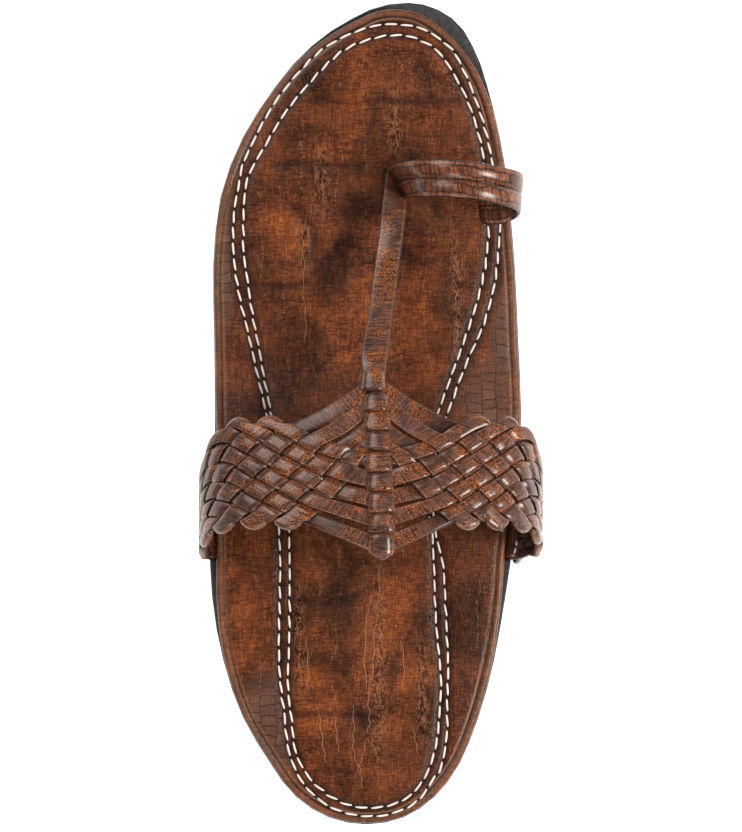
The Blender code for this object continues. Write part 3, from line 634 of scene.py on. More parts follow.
# The marbling's big patches in the same pixels: middle, reach across and along, and orange above 0.
# The dark one at 232, 214 is painted shadow under the toe loop.
PATCHES = [
    (162, 230, 15, 42, -0.8), (132, 282, 16, 22, -1.0), (178, 116, 10, 16, -0.7),
    (102, 139, 12, 12, -0.7), (152, 104, 18, 9, 0.9), (135, 150, 14, 18, 0.7),
    (85, 226, 16, 18, 0.9), (113, 308, 9, 12, 0.9), (110, 200, 18, 16, 0.4),
    (60, 250, 12, 40, -0.5), (55, 330, 12, 34, 0.4), (90, 340, 20, 28, -0.4),
    (231, 78, 9, 22, -0.9), (187, 92, 10, 10, -0.6), (268, 134, 9, 18, -0.5),
    # Painted shadow: the first patch below darkens the leather under the toe loop.
    (232, 214, 22, 18, -0.7), (253, 288, 8, 26, -0.8), (209, 250, 8, 22, -0.5),
    (247, 73, 10, 10, 0.8), (233, 121, 12, 11, 1.0), (187, 148, 9, 13, 0.7),
    (234, 254, 18, 14, 0.7), (227, 312, 14, 20, 0.6), (262, 180, 14, 14, 0.3),
    (145, 606, 26, 34, -1.2), (152, 666, 14, 14, -0.9), (124, 657, 16, 7, -0.6),
    (200, 674, 9, 20, -1.1), (226, 612, 9, 26, -0.9), (268, 630, 26, 80, -0.8),
    (54, 685, 18, 11, -0.8), (160, 725, 18, 16, -0.8), (124, 577, 15, 8, 0.7),
    (126, 634, 14, 13, 0.7), (200, 610, 10, 34, 0.9), (208, 700, 10, 30, 1.0),
    (118, 672, 16, 12, 0.8), (122, 724, 20, 12, 1.0), (114, 768, 17, 12, 0.8),
    (50, 597, 7, 30, 0.5), (70, 667, 14, 9, 0.4), (178, 770, 30, 20, 0.3), (232, 740, 10, 40, -0.3),
    (280, 400, 14, 40, -0.3),
]
# Where the middle of the hide shows its rough grain.
ROUGH = [
    (184, 670, 8, 100), (228, 690, 7, 60), (104, 640, 5, 60), (262, 300, 7, 60),
    (126, 180, 8, 36), (110, 245, 8, 30), (200, 120, 7, 40),
]
ROUGH_SHARE = 0.75
CREASE_SHARE, CREASE_SHADE_REACH = 0.7, 1.3 * MM
CREST_SHARE, CREST_IN, CREST_REACH = 0.5, 1.3 * MM, 0.8 * MM
INNER_CREST_IN, INNER_CREST_REACH = 3.3 * MM, 0.3 * MM
sides = [inset_sides(inset * MM, STATIONS) for inset, _ in RIM_RINGS]
shape = bmesh.new()
FOOTBED_MARKS = ("flank", "seam", "crease", "fold", "crest", "patch", "rough")
marks = dict(zip(FOOTBED_MARKS, new_marks(shape, FOOTBED_MARKS)))


def face_vert(x, y):
    """A point of the leather's face, with its wear, its tone, and its painted shade and sheen."""
    vert = shape.verts.new((x, y, footbed_face(x, y)))
    edge_far = distance(edge_tree, x, y)
    px, py = x / PIXEL + MIDDLE_X, MIDDLE_Y - y / PIXEL
    vert[marks["flank"]] = max(
        math.exp(-(((px - a) / c) ** 2 + ((py - b) / d) ** 2) ** 2) for a, b, c, d in FLANKS
    )
    vert[marks["rough"]] = ROUGH_SHARE * max(
        math.exp(-(((px - a) / c) ** 2) - ((py - b) / d) ** 4) for a, b, c, d in ROUGH
    )
    vert[marks["patch"]] = sum(
        tone * math.exp(-(((px - a) / c) ** 2) - ((py - b) / d) ** 2)
        for a, b, c, d, tone in PATCHES
    )
    # Painted shade: the seam channels, creases and rim fold are marked for darkening.
    vert[marks["seam"]] = bell(distance(seam_tree, x, y), CHANNEL_REACH)
    vert[marks["crease"]] = CREASE_SHARE * bell(distance(crease_tree, x, y), CREASE_SHADE_REACH)
    vert[marks["fold"]] = bell(edge_far - FOLD_IN, FOLD_REACH)
    bead = bell(edge_far - CREST_IN, CREST_REACH)
    inner_bead = bell(edge_far - INNER_CREST_IN, INNER_CREST_REACH)
    vert[marks["crest"]] = max(CREST_SHARE * bead, inner_bead)
    return vert


loops = []
for station in range(STATIONS + 1):
    left, right = [], []
    for (_, level), rows in zip(RIM_RINGS, sides):
        x_left, x_right, y = rows[station]
        for x, chain in ((x_left, left), (x_right, right)):
            if level is None:
                chain.append(face_vert(x, y))
            else:
                z = footbed_top(y) - FOOTBED_THICK * (1 - level)
                chain.append(shape.verts.new((x, y, z)))
    x_left, x_right, y = sides[-1][station]
    width = x_right - x_left
    middle = [face_vert(x_left + width * step / ACROSS, y) for step in range(1, ACROSS)]
    x_left, x_right, y = sides[0][station]
    back, z = x_left - x_right, footbed_top(y) - FOOTBED_THICK
    below = [shape.verts.new((x_right + back * step / BELOW, y, z)) for step in range(1, BELOW)]
    loops.append(left + middle + right[::-1] + below)
skin(shape, loops, lids=False)
footbed = mesh_piece("covered_footbed", shape, leather)
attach(footbed, "root")
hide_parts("footbed")

# Scuffs: thin raised lines where the leather's finish has cracked along its folds.
SCUFFS = [
    [
        (185, 566), (183, 600), (179, 640), (178, 668), (173, 700), (174.5, 716), (173, 729),
        (168.5, 736),
    ],
    [(171.5, 738), (168, 754), (165, 765), (166, 777), (168, 789)],
    [(123, 706), (126, 729), (129, 751), (131, 763)], [(141, 719), (142, 740), (144.5, 753)],
    [(157.5, 705), (159, 729), (158, 744), (160.5, 759), (165, 775)],
    [(217.5, 726), (220.5, 741), (223, 753)], [(173, 739), (183, 754)],
    [(107, 238), (109, 265), (108, 290), (110.5, 315), (110, 343)],
    [(258, 235), (262, 240), (262, 246), (259, 249)],
    [(259, 259), (263, 265), (262, 271), (260, 275)],
    [(258, 287), (261, 294), (260, 304), (259, 311)],
    [(259, 320), (263, 328), (262, 338), (260, 344)], [(259, 348), (262, 354), (261, 360)],
    [(198, 129), (202, 138), (200, 155)], [(203, 60), (207, 66), (206, 72)],
    [(176, 592), (170, 640), (171, 690)], [(111, 640), (113, 668), (112, 690)],
    [(206, 640), (209, 668), (207, 690)],
]
scuff, tree, shader = new_finish("cracked_finish_over_leather")
shader.inputs["Base Color"].default_value = to_linear("#a06f4e")
shader.inputs["Roughness"].default_value = 0.5
# A scuff's outline across: share of its half width, and its height over the leather.
SCUFF_OUTLINE = [(-1, -0.05 * MM), (0, 0.09 * MM), (1, -0.05 * MM), (0, -0.12 * MM)]
SCUFF_THIN, SCUFF_SWELL = 0.10, 0.09
WOBBLE, WOBBLE_TURN = 0.25 * MM, 0.55
shape = bmesh.new()
for line in SCUFFS:
    path = smooth_path([from_photo(*p) for p in line], 14)
    rings = []
    for index, (x, y) in enumerate(path):
        taper = math.sin(math.pi * (index + 0.5) / len(path)) ** 0.5
        wide = (SCUFF_THIN + SCUFF_SWELL * taper) * MM
        bent = WOBBLE * math.sin(index * WOBBLE_TURN + line[0][0])
        level = footbed_face(x + bent, y)
        rings.append(
            [shape.verts.new((x + wide * a + bent, y, level + b)) for a, b in SCUFF_OUTLINE]
        )
    skin(shape, rings)
scuffs = mesh_piece("footbed_scuff_lines", shape, scuff)
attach(scuffs, "root")


# Seams: two rows of waxed white thread, lockstitched 5.4 mm to the stitch. Each stitch dives at
# both ends into a needle hole, drawn as a small near-black disc of painted shade.
STITCH_PITCH = 5.4 * MM
STITCH_LENGTH = 4.75 * MM
THREAD_WIDE = 0.74 * MM
THREAD_HIGH = 0.3 * MM
STITCH_STEPS = 9
THREAD_TURNS = 8
STITCH_TILTS, STITCH_DRIFT = (-0.04, 0.15), 0.08
STITCH_RISE, STITCH_DIVE = 0.22 * MM, 0.25 * MM
HOLE_LONG, HOLE_WIDE, HOLE_TURNS = 0.55 * MM, 0.42 * MM, 10
HOLE_LIFT, HOLE_DEPTH, HOLE_CROWN = 0.04 * MM, 0.5 * MM, 0.05 * MM
thread, tree, shader = new_finish("waxed_white_thread")
place = add_node(tree, "ShaderNodeTexCoord").outputs["Object"]
shader.inputs["Base Color"].default_value = to_linear("#fbefe8")
shader.inputs["Roughness"].default_value = 0.6
twist = add_node(tree, "ShaderNodeTexNoise", {"Vector": place, "Scale": 2500.0, "Detail": 2.0})
lay = add_node(
    tree, "ShaderNodeBump", {"Height": twist.outputs["Fac"], "Strength": 0.5, "Distance": 0.0001}
)
tree.links.new(lay.outputs["Normal"], shader.inputs["Normal"])
hole_dark, tree, shader = new_finish("needle_hole_shadow")
shader.inputs["Base Color"].default_value = to_linear("#1a100c")
shader.inputs["Roughness"].default_value = 0.9


def stitch_thickness(share):
    """A stitch's thickness from -1 to 1 along it, as a share of the thread's."""
    return math.sqrt(max(1 - abs(share) ** 3, 0.03))


chance = np.random.default_rng(11)
for row_name, line in (("outer", outer_line), ("inner", inner_line)):
    closed = np.vstack([line, line[:1]])
    lengths = np.concatenate([[0.0], np.cumsum(np.linalg.norm(np.diff(closed, axis=0), axis=1))])
    count = round(lengths[-1] / STITCH_PITCH)
    pitch = lengths[-1] / count
    stitches, holes = bmesh.new(), bmesh.new()
    for number in range(count):
        middle = number * pitch
        tilt = chance.uniform(*STITCH_TILTS)
        drift = chance.uniform(-STITCH_DRIFT, STITCH_DRIFT) * MM
        spots = []
        for step in range(STITCH_STEPS):
            share = step / (STITCH_STEPS - 1) * 2 - 1
            at = (middle + share * STITCH_LENGTH / 2 * (pitch / STITCH_PITCH)) % lengths[-1]
            x, y = np.interp(at, lengths, closed[:, 0]), np.interp(at, lengths, closed[:, 1])
            spots.append((x, y, share))
        run = Vector((spots[-1][0] - spots[0][0], spots[-1][1] - spots[0][1], 0.0))
        heading = run.normalized()
        aside = Vector((-heading.y, heading.x, 0.0))
        rings = []
        for x, y, share in spots:
            thick = stitch_thickness(share)
            lift = STITCH_RISE * (1 - share**4) - STITCH_DIVE * share**8
            centre = Vector((x, y, footbed_face(x, y) + lift))
            centre += aside * (drift + tilt * share * STITCH_LENGTH / 2)
            ring = []
            for turn in range(THREAD_TURNS):
                angle = math.tau * turn / THREAD_TURNS
                wide = aside * (math.cos(angle) * THREAD_WIDE / 2 * thick)
                high = Vector((0.0, 0.0, math.sin(angle) * THREAD_HIGH * thick))
                ring.append(stitches.verts.new(centre + wide + high))
            rings.append(ring)
        skin(stitches, rings)
        at = (middle + pitch / 2) % lengths[-1]
        x, y = np.interp(at, lengths, closed[:, 0]), np.interp(at, lengths, closed[:, 1])
        centre = Vector((x, y, footbed_face(x, y) + HOLE_LIFT))
        disc = []
        for turn in range(HOLE_TURNS):
            angle = math.tau * turn / HOLE_TURNS
            ahead = heading * (math.cos(angle) * HOLE_LONG)
            disc.append(holes.verts.new(centre + ahead + aside * (math.sin(angle) * HOLE_WIDE)))
        low = holes.verts.new(centre - Vector((0.0, 0.0, HOLE_DEPTH)))
        high = holes.verts.new(centre + Vector((0.0, 0.0, HOLE_CROWN)))
        for near, far in zip(disc, disc[1:] + disc[:1]):
            holes.faces.new((near, far, high))
            holes.faces.new((far, near, low))
    seam = mesh_piece(f"{row_name}_seam_stitches", stitches, thread)
    pricks = mesh_piece(f"{row_name}_seam_needle_holes", holes, hole_dark)
    for piece in (seam, pricks):
        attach(piece, "root")


# Woven band: nine leather strips a side, 1.5 mm thick with burnished edges. Each leaves the spine,
# runs over one and under one, and folds behind at the band's edge to come back the other way.
BAND_SPAN = 117 * MM
BAND_DEPTH = 36 * MM
RIDGE_HEIGHT = 41 * MM
HIP_HEIGHT = 9 * MM
STRIP_WIDTH = 5.6 * MM
STRIP_THICK = 1.5 * MM
RELIEF = 0.9 * MM
TAB_THICK = 2.4 * MM
TAB_WIDTH = 18 * MM
CELL_LENGTH = 5.8 * MM
CELL_SLANT = 1.2 * MM
FAN_START = 25 * MM
SPINE_TOP_Y = 0.114 * SOLE_LENGTH / 2
SPINE_TIP_Y = -0.356 * SOLE_LENGTH / 2
BAND_Y = -0.142 * SOLE_LENGTH / 2
TAIL_Y = -0.292 * SOLE_LENGTH / 2
LEVELS = 9
MIDDLE_LEVEL = 4
ARCH_STEPS = 48
FOOT_STEPS = 12
TOP_RISE, TIP_RISE = 0.74, 1.06
SWELL, SWELL_REACH = 6.3 * MM, 13 * MM
ARCH_POWER = 0.8
LEAN_START, LEAN_GAIN = 0.02, 0.05
DRAW_START, DRAW_RUN = 0.55, 0.45


def footbed_edge(side, y):
    beside = edge[edge[:, 0] * side > 0]
    order = np.argsort(beside[:, 1])
    return float(np.interp(y, beside[order, 1], beside[order, 0]))


def tab_seat(side):
    """The footbed's edge at the tab: how far out it lies, and its direction."""
    rear = footbed_edge(side, TAIL_Y - TAB_WIDTH / 2)
    front = footbed_edge(side, TAIL_Y + TAB_WIDTH / 2)
    out = side * max(side * footbed_edge(side, TAIL_Y), side * (rear + front) / 2)
    return out, Vector((front - rear, TAB_WIDTH, 0.0)).normalized()


def arch_line(side):
    """Girth, distance out and height over the footbed, from the ridge down one side."""
    half = BAND_SPAN / 2 - RELIEF
    rows = []
    for step in range(ARCH_STEPS + 1):
        turn = math.pi / 2 * step / ARCH_STEPS
        up = HIP_HEIGHT + (RIDGE_HEIGHT - HIP_HEIGHT) * max(math.cos(turn), 0.0) ** ARCH_POWER
        rows.append((half * math.sin(turn) ** ARCH_POWER, up))
    foot = abs(tab_seat(side)[0]) + FIT_GAP + TAB_THICK
    for step in range(1, FOOT_STEPS + 1):
        share = step / FOOT_STEPS
        out = half - (half - foot) * (1 - math.cos(math.pi * share)) / 2
        rows.append((out, HIP_HEIGHT - (HIP_HEIGHT + FOOTBED_THICK / 2) * share))
    line = np.array(rows)
    girth = np.concatenate([[0.0], np.cumsum(np.linalg.norm(np.diff(line, axis=0), axis=1))])
    return girth, line[:, 0], line[:, 1]


ARCHES = {side: arch_line(side) for side in (-1, 1)}
BAND_FOOT = footbed_top(TAIL_Y)


def on_arch(side, girth, y):
    """A point of the band's outer face."""
    lengths, outs, ups = ARCHES[side]
    out, up = float(np.interp(girth, lengths, outs)), float(np.interp(girth, lengths, ups))
    share = (SPINE_TOP_Y - y) / (SPINE_TOP_Y - SPINE_TIP_Y)
    if up > 0:
        turn = clamp(share, -0.1, 1.1) * math.pi / 2
        up *= TOP_RISE + (TIP_RISE - TOP_RISE) * math.sin(turn)
    lean = SOLE_WIDTH / 2 * (LEAN_START + LEAN_GAIN * share) * (1 - (out / outs.max()) ** 2)
    return Vector((side * out + lean, y, BAND_FOOT + up))


def band_point(side, girth, y, lift):
    """A point raised from the band's outer face."""
    step = 0.5 * MM
    across = on_arch(side, girth + step, y) - on_arch(side, max(girth - step, 0.0), y)
    along = on_arch(side, girth, y + step) - on_arch(side, girth, y - step)
    return on_arch(side, girth, y) + across.cross(along).normalized() * side * lift


def ease(share):
    """A share that starts and ends gently."""
    return share * share * (3 - 2 * share)


def lattice(side, down, up):
    """Girth and place along the shoe where a falling and a rising strip cross."""
    column, level = up - down, down + up - 1
    girth = FAN_START + column * CELL_LENGTH - (level - MIDDLE_LEVEL) * CELL_SLANT
    rise = BAND_DEPTH / 2 * (1 - 2 * level / LEVELS)
    middle_share = max(1 - abs(level - MIDDLE_LEVEL) / (MIDDLE_LEVEL + 1), 0.0)
    rise += SWELL * bell(max(girth, 0.0), SWELL_REACH) * middle_share
    end = ARCHES[side][0][-1]
    drawn = ease(clamp((girth - DRAW_START * end) / (DRAW_RUN * end)))
    rise *= 1 - drawn * (1 - TAB_WIDTH / BAND_DEPTH)
    return np.array((girth, BAND_Y + (TAIL_Y - BAND_Y) * drawn + rise))


STRIP_MARKS = ("run", "breadth", "tone", "under_shade", "crest")
# A strip's outline across: share of its half width, and of its thickness.
STRIP_OUTLINE = [
    (-1.0, 0.0), (-0.965, 0.30), (-0.86, 0.45), (-0.5, 0.50), (0.0, 0.52), (0.5, 0.50),
    (0.86, 0.45), (0.965, 0.30), (1.0, 0.0), (0.965, -0.30), (0.86, -0.45), (0.0, -0.5),
    (-0.86, -0.45), (-0.965, -0.30),
]
HALF_CELL = 0.44
FOLD_PINCH = 0.10
FOLD_ROUND = 2.3 * MM
WEAVE_MIDDLE = RELIEF - 1.05 * STRIP_THICK
WEAVE_SWING = 0.54 * STRIP_THICK
FAN_STEPS = 14
FAN_BOW = 0.10
FAN_FLAT, FAN_SWING = 0.45, 0.4
CELL_STEPS = 8
FOLD_TURNS = (30, 60, 90, 120, 150)
SPINE_HALF = 1.2 * MM
STRIP_STOP = 3 * MM


def weave_swing(level, falls):
    """How far a strip swings out, flat on each crossing and steep between two."""
    wave = math.cos(math.pi * level) * (1 if falls else -1)
    return WEAVE_SWING * math.copysign(min(abs(wave) * 1.7, 1.0), wave)


def strip_sections(side, start_rise, down, up, falls):
    """A strip's sections from spine to tab: both edges, lift, tilt, side of a fold, and bend."""
    sections = []
    end = ARCHES[side][0][-1] - STRIP_STOP
    fixed, moving = (down, up) if falls else (up, down)
    edges = (-HALF_CELL, HALF_CELL)

    def at(fix, move):
        return lattice(side, fix, move) if falls else lattice(side, move, fix)

    first = [at(fixed + e, moving) for e in edges]
    goal = (first[0] + first[1]) / 2
    begin = np.array((SPINE_HALF, BAND_Y + start_rise * BAND_DEPTH / 2))
    crossing = weave_swing(down + up - 1, falls)
    heading = (goal - begin) / np.linalg.norm(goal - begin)
    aside = np.array((heading[1], -heading[0])) * STRIP_WIDTH / 2
    if np.dot(aside, first[0] - first[1]) < 0:
        aside = -aside
    for step in range(FAN_STEPS):
        share = step / FAN_STEPS
        bow = share + (FAN_BOW * math.sin(math.pi * share) if falls else 0.0)
        centre = begin + (goal - begin) * np.array((share, bow))
        turned = ease(share)
        pair = []
        for sign, target in ((1, first[0]), (-1, first[1])):
            pair.append((centre + sign * aside) * (1 - turned) + (target + centre - goal) * turned)
        swing = crossing * clamp((share - FAN_FLAT) / FAN_SWING)
        sections.append((*pair, WEAVE_MIDDLE + swing, 0.0, 0, 0.0))
    tilt = 0.0
    while True:
        level = fixed + moving - 1
        last = LEVELS - 1 if falls else 1
        to_fold = round(abs(last - level))
        for cell in range(to_fold):
            for step in range(CELL_STEPS):
                part = cell + step / CELL_STEPS
                move = moving + (part if falls else -part)
                pair = [at(fixed + e, move) for e in edges]
                swing = weave_swing(fixed + move - 1, falls)
                sections.append((*pair, WEAVE_MIDDLE + swing, tilt, 0, 0.0))
                if (pair[0][0] + pair[1][0]) / 2 > end:
                    return sections
        moving += to_fold if falls else -to_fold
        goal_level = LEVELS if falls else 0
        outward = -1 if falls else 1
        for step in range(CELL_STEPS + 1):
            share = step / CELL_STEPS
            drawn = [e * (1 - FOLD_PINCH * share**3) for e in edges]
            way = goal_level + 1 - fixed
            pair = [at(fixed + e, moving + (way - e - moving) * share) for e in drawn]
            bend = outward * FOLD_ROUND * share**2
            sections.append((*pair, WEAVE_MIDDLE + WEAVE_SWING, tilt, 0, bend))
        for turn in FOLD_TURNS:
            angle = math.radians(turn)
            out = np.array((0.0, outward * WEAVE_SWING * math.sin(angle)))
            lift = WEAVE_MIDDLE + WEAVE_SWING * math.cos(angle)
            sections.append((pair[0] + out, pair[1] + out, lift, angle + tilt, outward, bend))
        tilt = math.pi - tilt
        before_fold = fixed
        fixed = goal_level + 1 - fixed
        edges = (-edges[0], -edges[1])
        falls = not falls
        moving = (2 if falls else LEVELS) - fixed
        for step in range(CELL_STEPS):
            share = step / CELL_STEPS
            drawn = [e * (1 - FOLD_PINCH * (1 - share) ** 3) for e in edges]
            pair = [at(fixed + e, (before_fold - e) * (1 - share) + moving * share) for e in drawn]
            bend = outward * FOLD_ROUND * (1 - share) ** 2
            sections.append((*pair, WEAVE_MIDDLE - WEAVE_SWING, tilt, 0, bend))
            if (pair[0][0] + pair[1][0]) / 2 > end:
                return sections


def strip_mesh(shape, layers, side, sections, tone):
    """Adds a closed strip through its sections, and keeps what its finish reads."""
    run_layer, wide_layer, tone_layer, under_shade_layer, crest_layer = layers
    rings, run, before = [], 0.0, None
    for left, right, lift, tilt, outward, bend in sections:
        middle, half = (left + right) / 2, (right - left) / 2
        ring = []
        for share, height in STRIP_OUTLINE:
            girth, y = middle + half * share
            rise = height * STRIP_THICK
            y = y - bend * share**2 + outward * math.sin(tilt) * rise
            point = band_point(side, girth, y, lift + math.cos(tilt) * rise)
            ring.append(shape.verts.new(point))
        centre = sum((v.co for v in ring), Vector()) / len(ring)
        run += (centre - before).length if before else 0.0
        before = centre
        for vert, (share, _) in zip(ring, STRIP_OUTLINE):
            vert[run_layer], vert[wide_layer], vert[tone_layer] = run, share, tone
            # How far the strip dips under its neighbours, for painted shade.
            vert[under_shade_layer] = clamp((WEAVE_MIDDLE - lift) / WEAVE_SWING)
            vert[crest_layer] = abs(outward) * abs(math.sin(tilt))
        rings.append(ring)
    skin(shape, rings)


def strap_finish(name, ground, square=0.0):
    """Burnished strap leather from four ground tones, dark to light, and its emboss's squares;
    shade painted in.
    """
    finish, tree, shader = new_finish(name)
    place = add_node(tree, "ShaderNodeTexCoord").outputs["Object"]
    tone = add_node(tree, "ShaderNodeAttribute", attribute_name="tone").outputs["Fac"]
    run = add_node(tree, "ShaderNodeAttribute", attribute_name="run").outputs["Fac"]
    breadth = add_node(tree, "ShaderNodeAttribute", attribute_name="breadth").outputs["Fac"]
    # Orange patches about 7 mm long, not in the same places on any two strips.
    cloud = add_node(
        tree, "ShaderNodeTexNoise",
        {
            "Vector": place, "W": tone, "Scale": 150.0, "Detail": 3.0, "Roughness": 0.5,
            "Distortion": 0.6,
        },
        noise_dimensions="4D",
    )
    stain = add_node(
        tree, "ShaderNodeValToRGB",
        {"Fac": cloud.outputs["Fac"]},
        stops=[(0.36, ground[0]), (0.64, ground[3]), (0.46, ground[1]), (0.55, ground[2])],
    )
    # Speckle of the pebbled grain, drawn 0.5 mm across, coarser than it is, so that it shows.
    speckle = add_node(
        tree, "ShaderNodeTexNoise",
        {"Vector": place, "Scale": 2000.0, "Detail": 1.0, "Roughness": 0.7},
    )
    spots = add_node(
        tree, "ShaderNodeValToRGB",
        {"Fac": speckle.outputs["Fac"]},
        stops=[(0.42, "#5c4438"), (0.56, "#ffffff")],
    )
    # The grain is rubbed smooth on the duller patches.
    toned = add_node(
        tree, "ShaderNodeMapRange",
        {
            "Value": cloud.outputs["Fac"], "From Min": 0.42, "From Max": 0.56,
            "To Min": 0.35 if square else 0.5, "To Max": 0.55 if square else 1.0,
        },
    )
    colour = add_node(
        tree, "ShaderNodeMix",
        {"Factor": toned.outputs[0], "A": stain.outputs["Color"], "B": spots.outputs["Color"]},
        **MULTIPLY,
    ).outputs["Result"]
    # Fine lines across the strap, about 0.6 mm apart, where it has been bent.
    along = add_node(tree, "ShaderNodeMath", {0: breadth, 1: 0.0028}, operation="MULTIPLY")
    flat = add_node(tree, "ShaderNodeCombineXYZ", {"X": along.outputs[0], "Y": run, "Z": tone})
    shaken = add_node(
        tree, "ShaderNodeVectorMath",
        {0: cloud.outputs["Color"], 1: (0.0, 0.003, 0.0), 2: flat.outputs[0]},
        operation="MULTIPLY_ADD",
    )
    squeezed = add_node(
        tree, "ShaderNodeMapping", {"Vector": shaken.outputs[0], "Scale": (0.12, 1.0, 1.0)}
    )
    lines = add_node(
        tree, "ShaderNodeTexNoise",
        {"Vector": squeezed.outputs[0], "Scale": 1600.0, "Detail": 2.0, "Roughness": 0.6},
    )
    hatch = add_node(
        tree, "ShaderNodeValToRGB",
        {"Fac": lines.outputs["Fac"]},
        stops=[(0.40, "#64402c"), (0.54, "#ffffff")],
    )
    colour = add_node(
        tree, "ShaderNodeMix", {"Factor": 0.7, "A": colour, "B": hatch.outputs["Color"]}, **MULTIPLY
    ).outputs["Result"]
    relief = lines.outputs["Fac"]
    side = add_node(tree, "ShaderNodeMath", {0: breadth}, operation="ABSOLUTE")
    if square:
        # The emboss: squares a few millimetres wide with cracks between them, some paler grey as
        # painted highlight.
        broad = add_node(tree, "ShaderNodeMath", {0: breadth, 1: 0.0065}, operation="MULTIPLY")
        laid = add_node(tree, "ShaderNodeCombineXYZ", {"X": run, "Y": broad.outputs[0]})
        wavy = add_node(
            tree, "ShaderNodeVectorMath",
            {0: cloud.outputs["Color"], 1: (0.004, 0.003, 0.0), 2: laid.outputs[0]},
            operation="MULTIPLY_ADD",
        )
        squares = add_node(
            tree, "ShaderNodeTexBrick",
            {
                "Vector": wavy.outputs[0], "Color1": to_linear("#ffffff"),
                "Color2": to_linear("#b09c90"), "Mortar": to_linear("#4a3227"), "Scale": 1.0,
                "Mortar Size": square * 0.07, "Mortar Smooth": 0.6, "Brick Width": square,
                "Row Height": square * 0.9,
            },
        )
        colour = add_node(
            tree, "ShaderNodeMix",
            {"Factor": 0.85, "A": colour, "B": squares.outputs["Color"]},
            **MULTIPLY,
        ).outputs["Result"]
        # Painted shade: the scored groove down the middle is darkened almost to black.
        groove = add_node(
            tree, "ShaderNodeValToRGB",
            {"Fac": side.outputs[0]},
            stops=[(0.0, "#ffffff"), (0.09, "#000000")],
        ).outputs["Color"]
        colour = add_node(
            tree, "ShaderNodeMix",
            {"Factor": groove, "A": colour, "B": to_linear("#1c120d")},
            **MULTIPLY,
        ).outputs["Result"]
        relief = add_node(
            tree, "ShaderNodeMath", {0: relief, 1: squares.outputs["Fac"]}, operation="SUBTRACT"
        ).outputs[0]
    # The rims are rubbed pale just inside the cut edge, and the crest of each fold ("crest") is
    # paler.
    # The cut edge is dyed dark, and darkened further as painted shade of the gaps between strips.
    rim = add_node(
        tree, "ShaderNodeValToRGB",
        {"Fac": side.outputs[0]},
        stops=[(0.76, "#000000"), (0.96, "#000000"), (0.86, "#ffffff")],
    ).outputs["Color"]
    rim_share = add_node(
        tree, "ShaderNodeMath", {0: rim, 1: lines.outputs["Fac"]}, operation="MULTIPLY"
    )
    colour = add_node(
        tree, "ShaderNodeMix",
        {"Factor": rim_share.outputs[0], "A": colour, "B": to_linear("#9c6a50")},
        data_type="RGBA",
    ).outputs["Result"]
    edge_dye_and_shade = add_node(
        tree, "ShaderNodeMapRange",
        {
            "Value": side.outputs[0], "From Min": 0.89, "From Max": 0.96, "To Min": 0.0,
            "To Max": 1.0,
        },
    )
    colour = add_node(
        tree, "ShaderNodeMix",
        {"Factor": edge_dye_and_shade.outputs[0], "A": colour, "B": to_linear("#2e1a11")},
        **MULTIPLY,
    ).outputs["Result"]
    crest = add_node(tree, "ShaderNodeAttribute", attribute_name="crest").outputs["Fac"]
    crest_pale = add_node(tree, "ShaderNodeMath", {0: crest, 1: 0.32}, operation="MULTIPLY")
    colour = add_node(
        tree, "ShaderNodeMix",
        {"Factor": crest_pale.outputs[0], "A": colour, "B": to_linear("#a88068")},
        data_type="RGBA",
    ).outputs["Result"]
    # Painted shade: each strip is darker where it dips under its neighbours.
    under_shade = add_node(tree, "ShaderNodeAttribute", attribute_name="under_shade").outputs["Fac"]
    colour = add_node(
        tree, "ShaderNodeMix", {"Factor": under_shade, "A": colour, "B": to_linear("#7c4f38")}, **MULTIPLY
    ).outputs["Result"]
    tree.links.new(colour, shader.inputs["Base Color"])
    gloss = add_node(
        tree, "ShaderNodeMapRange",
        {
            "Value": speckle.outputs["Fac"], "From Min": 0.40, "From Max": 0.60, "To Min": 0.50,
            "To Max": 0.20,
        },
    )
    tree.links.new(gloss.outputs[0], shader.inputs["Roughness"])
    shader.inputs["Specular IOR Level"].default_value = 0.2
    shader.inputs["Coat Weight"].default_value = 0.9
    shader.inputs["Coat Roughness"].default_value = 0.24
    grain = add_node(
        tree, "ShaderNodeBump", {"Height": relief, "Strength": 1.0, "Distance": 0.0006}
    )
    pebble = add_node(
        tree, "ShaderNodeBump",
        {
            "Height": speckle.outputs["Fac"], "Strength": 0.8, "Distance": 0.0006,
            "Normal": grain.outputs["Normal"],
        },
    )
    tree.links.new(pebble.outputs["Normal"], shader.inputs["Normal"])
    return finish


strap_leather = strap_finish(
    "burnished_strap_leather", ["#603f32", "#875a47", "#a1613a", "#bb6d32"]
)
# Rise at the spine as a share of half the band's depth, first crossing, and whether it falls.
STARTS = [
    (1.62, 1, 1, True), (1.36, 2, 1, True), (0.88, 3, 1, True), (0.58, 4, 1, True),
    (0.26, 4, 1, False), (-0.14, 4, 2, False), (-0.50, 4, 3, False), (-0.88, 4, 4, False),
    (-1.36, 4, 5, False),
]
for side, side_name in ((-1, "outer"), (1, "inner")):
    shape = bmesh.new()
    layers = new_marks(shape, STRIP_MARKS)
    for rise, down, up, falls in STARTS:
        sections = strip_sections(side, rise, down, up, falls)
        strip_mesh(shape, layers, side, sections, chance.uniform(0.0, 1.0))
    band = mesh_piece(f"woven_strips_{side_name}_side", shape, strap_leather)
    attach(band, "root")
    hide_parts("upper")


# Cut strip end: one strip of the same leather isn't folded back at the inner side. It is cut off
# and glued, and its end shows below the weave between two folds.
CUT_END = [(283, 513.5), (290, 519), (297, 524), (304, 528)]


def arch_girth(side, x):
    """How far round the band a place lies, from its distance across the shoe."""
    lengths, outs, _ = ARCHES[side]
    top = ARCH_STEPS + 1
    return float(np.interp(side * x - 0.8 * MM, outs[:top], lengths[:top]))


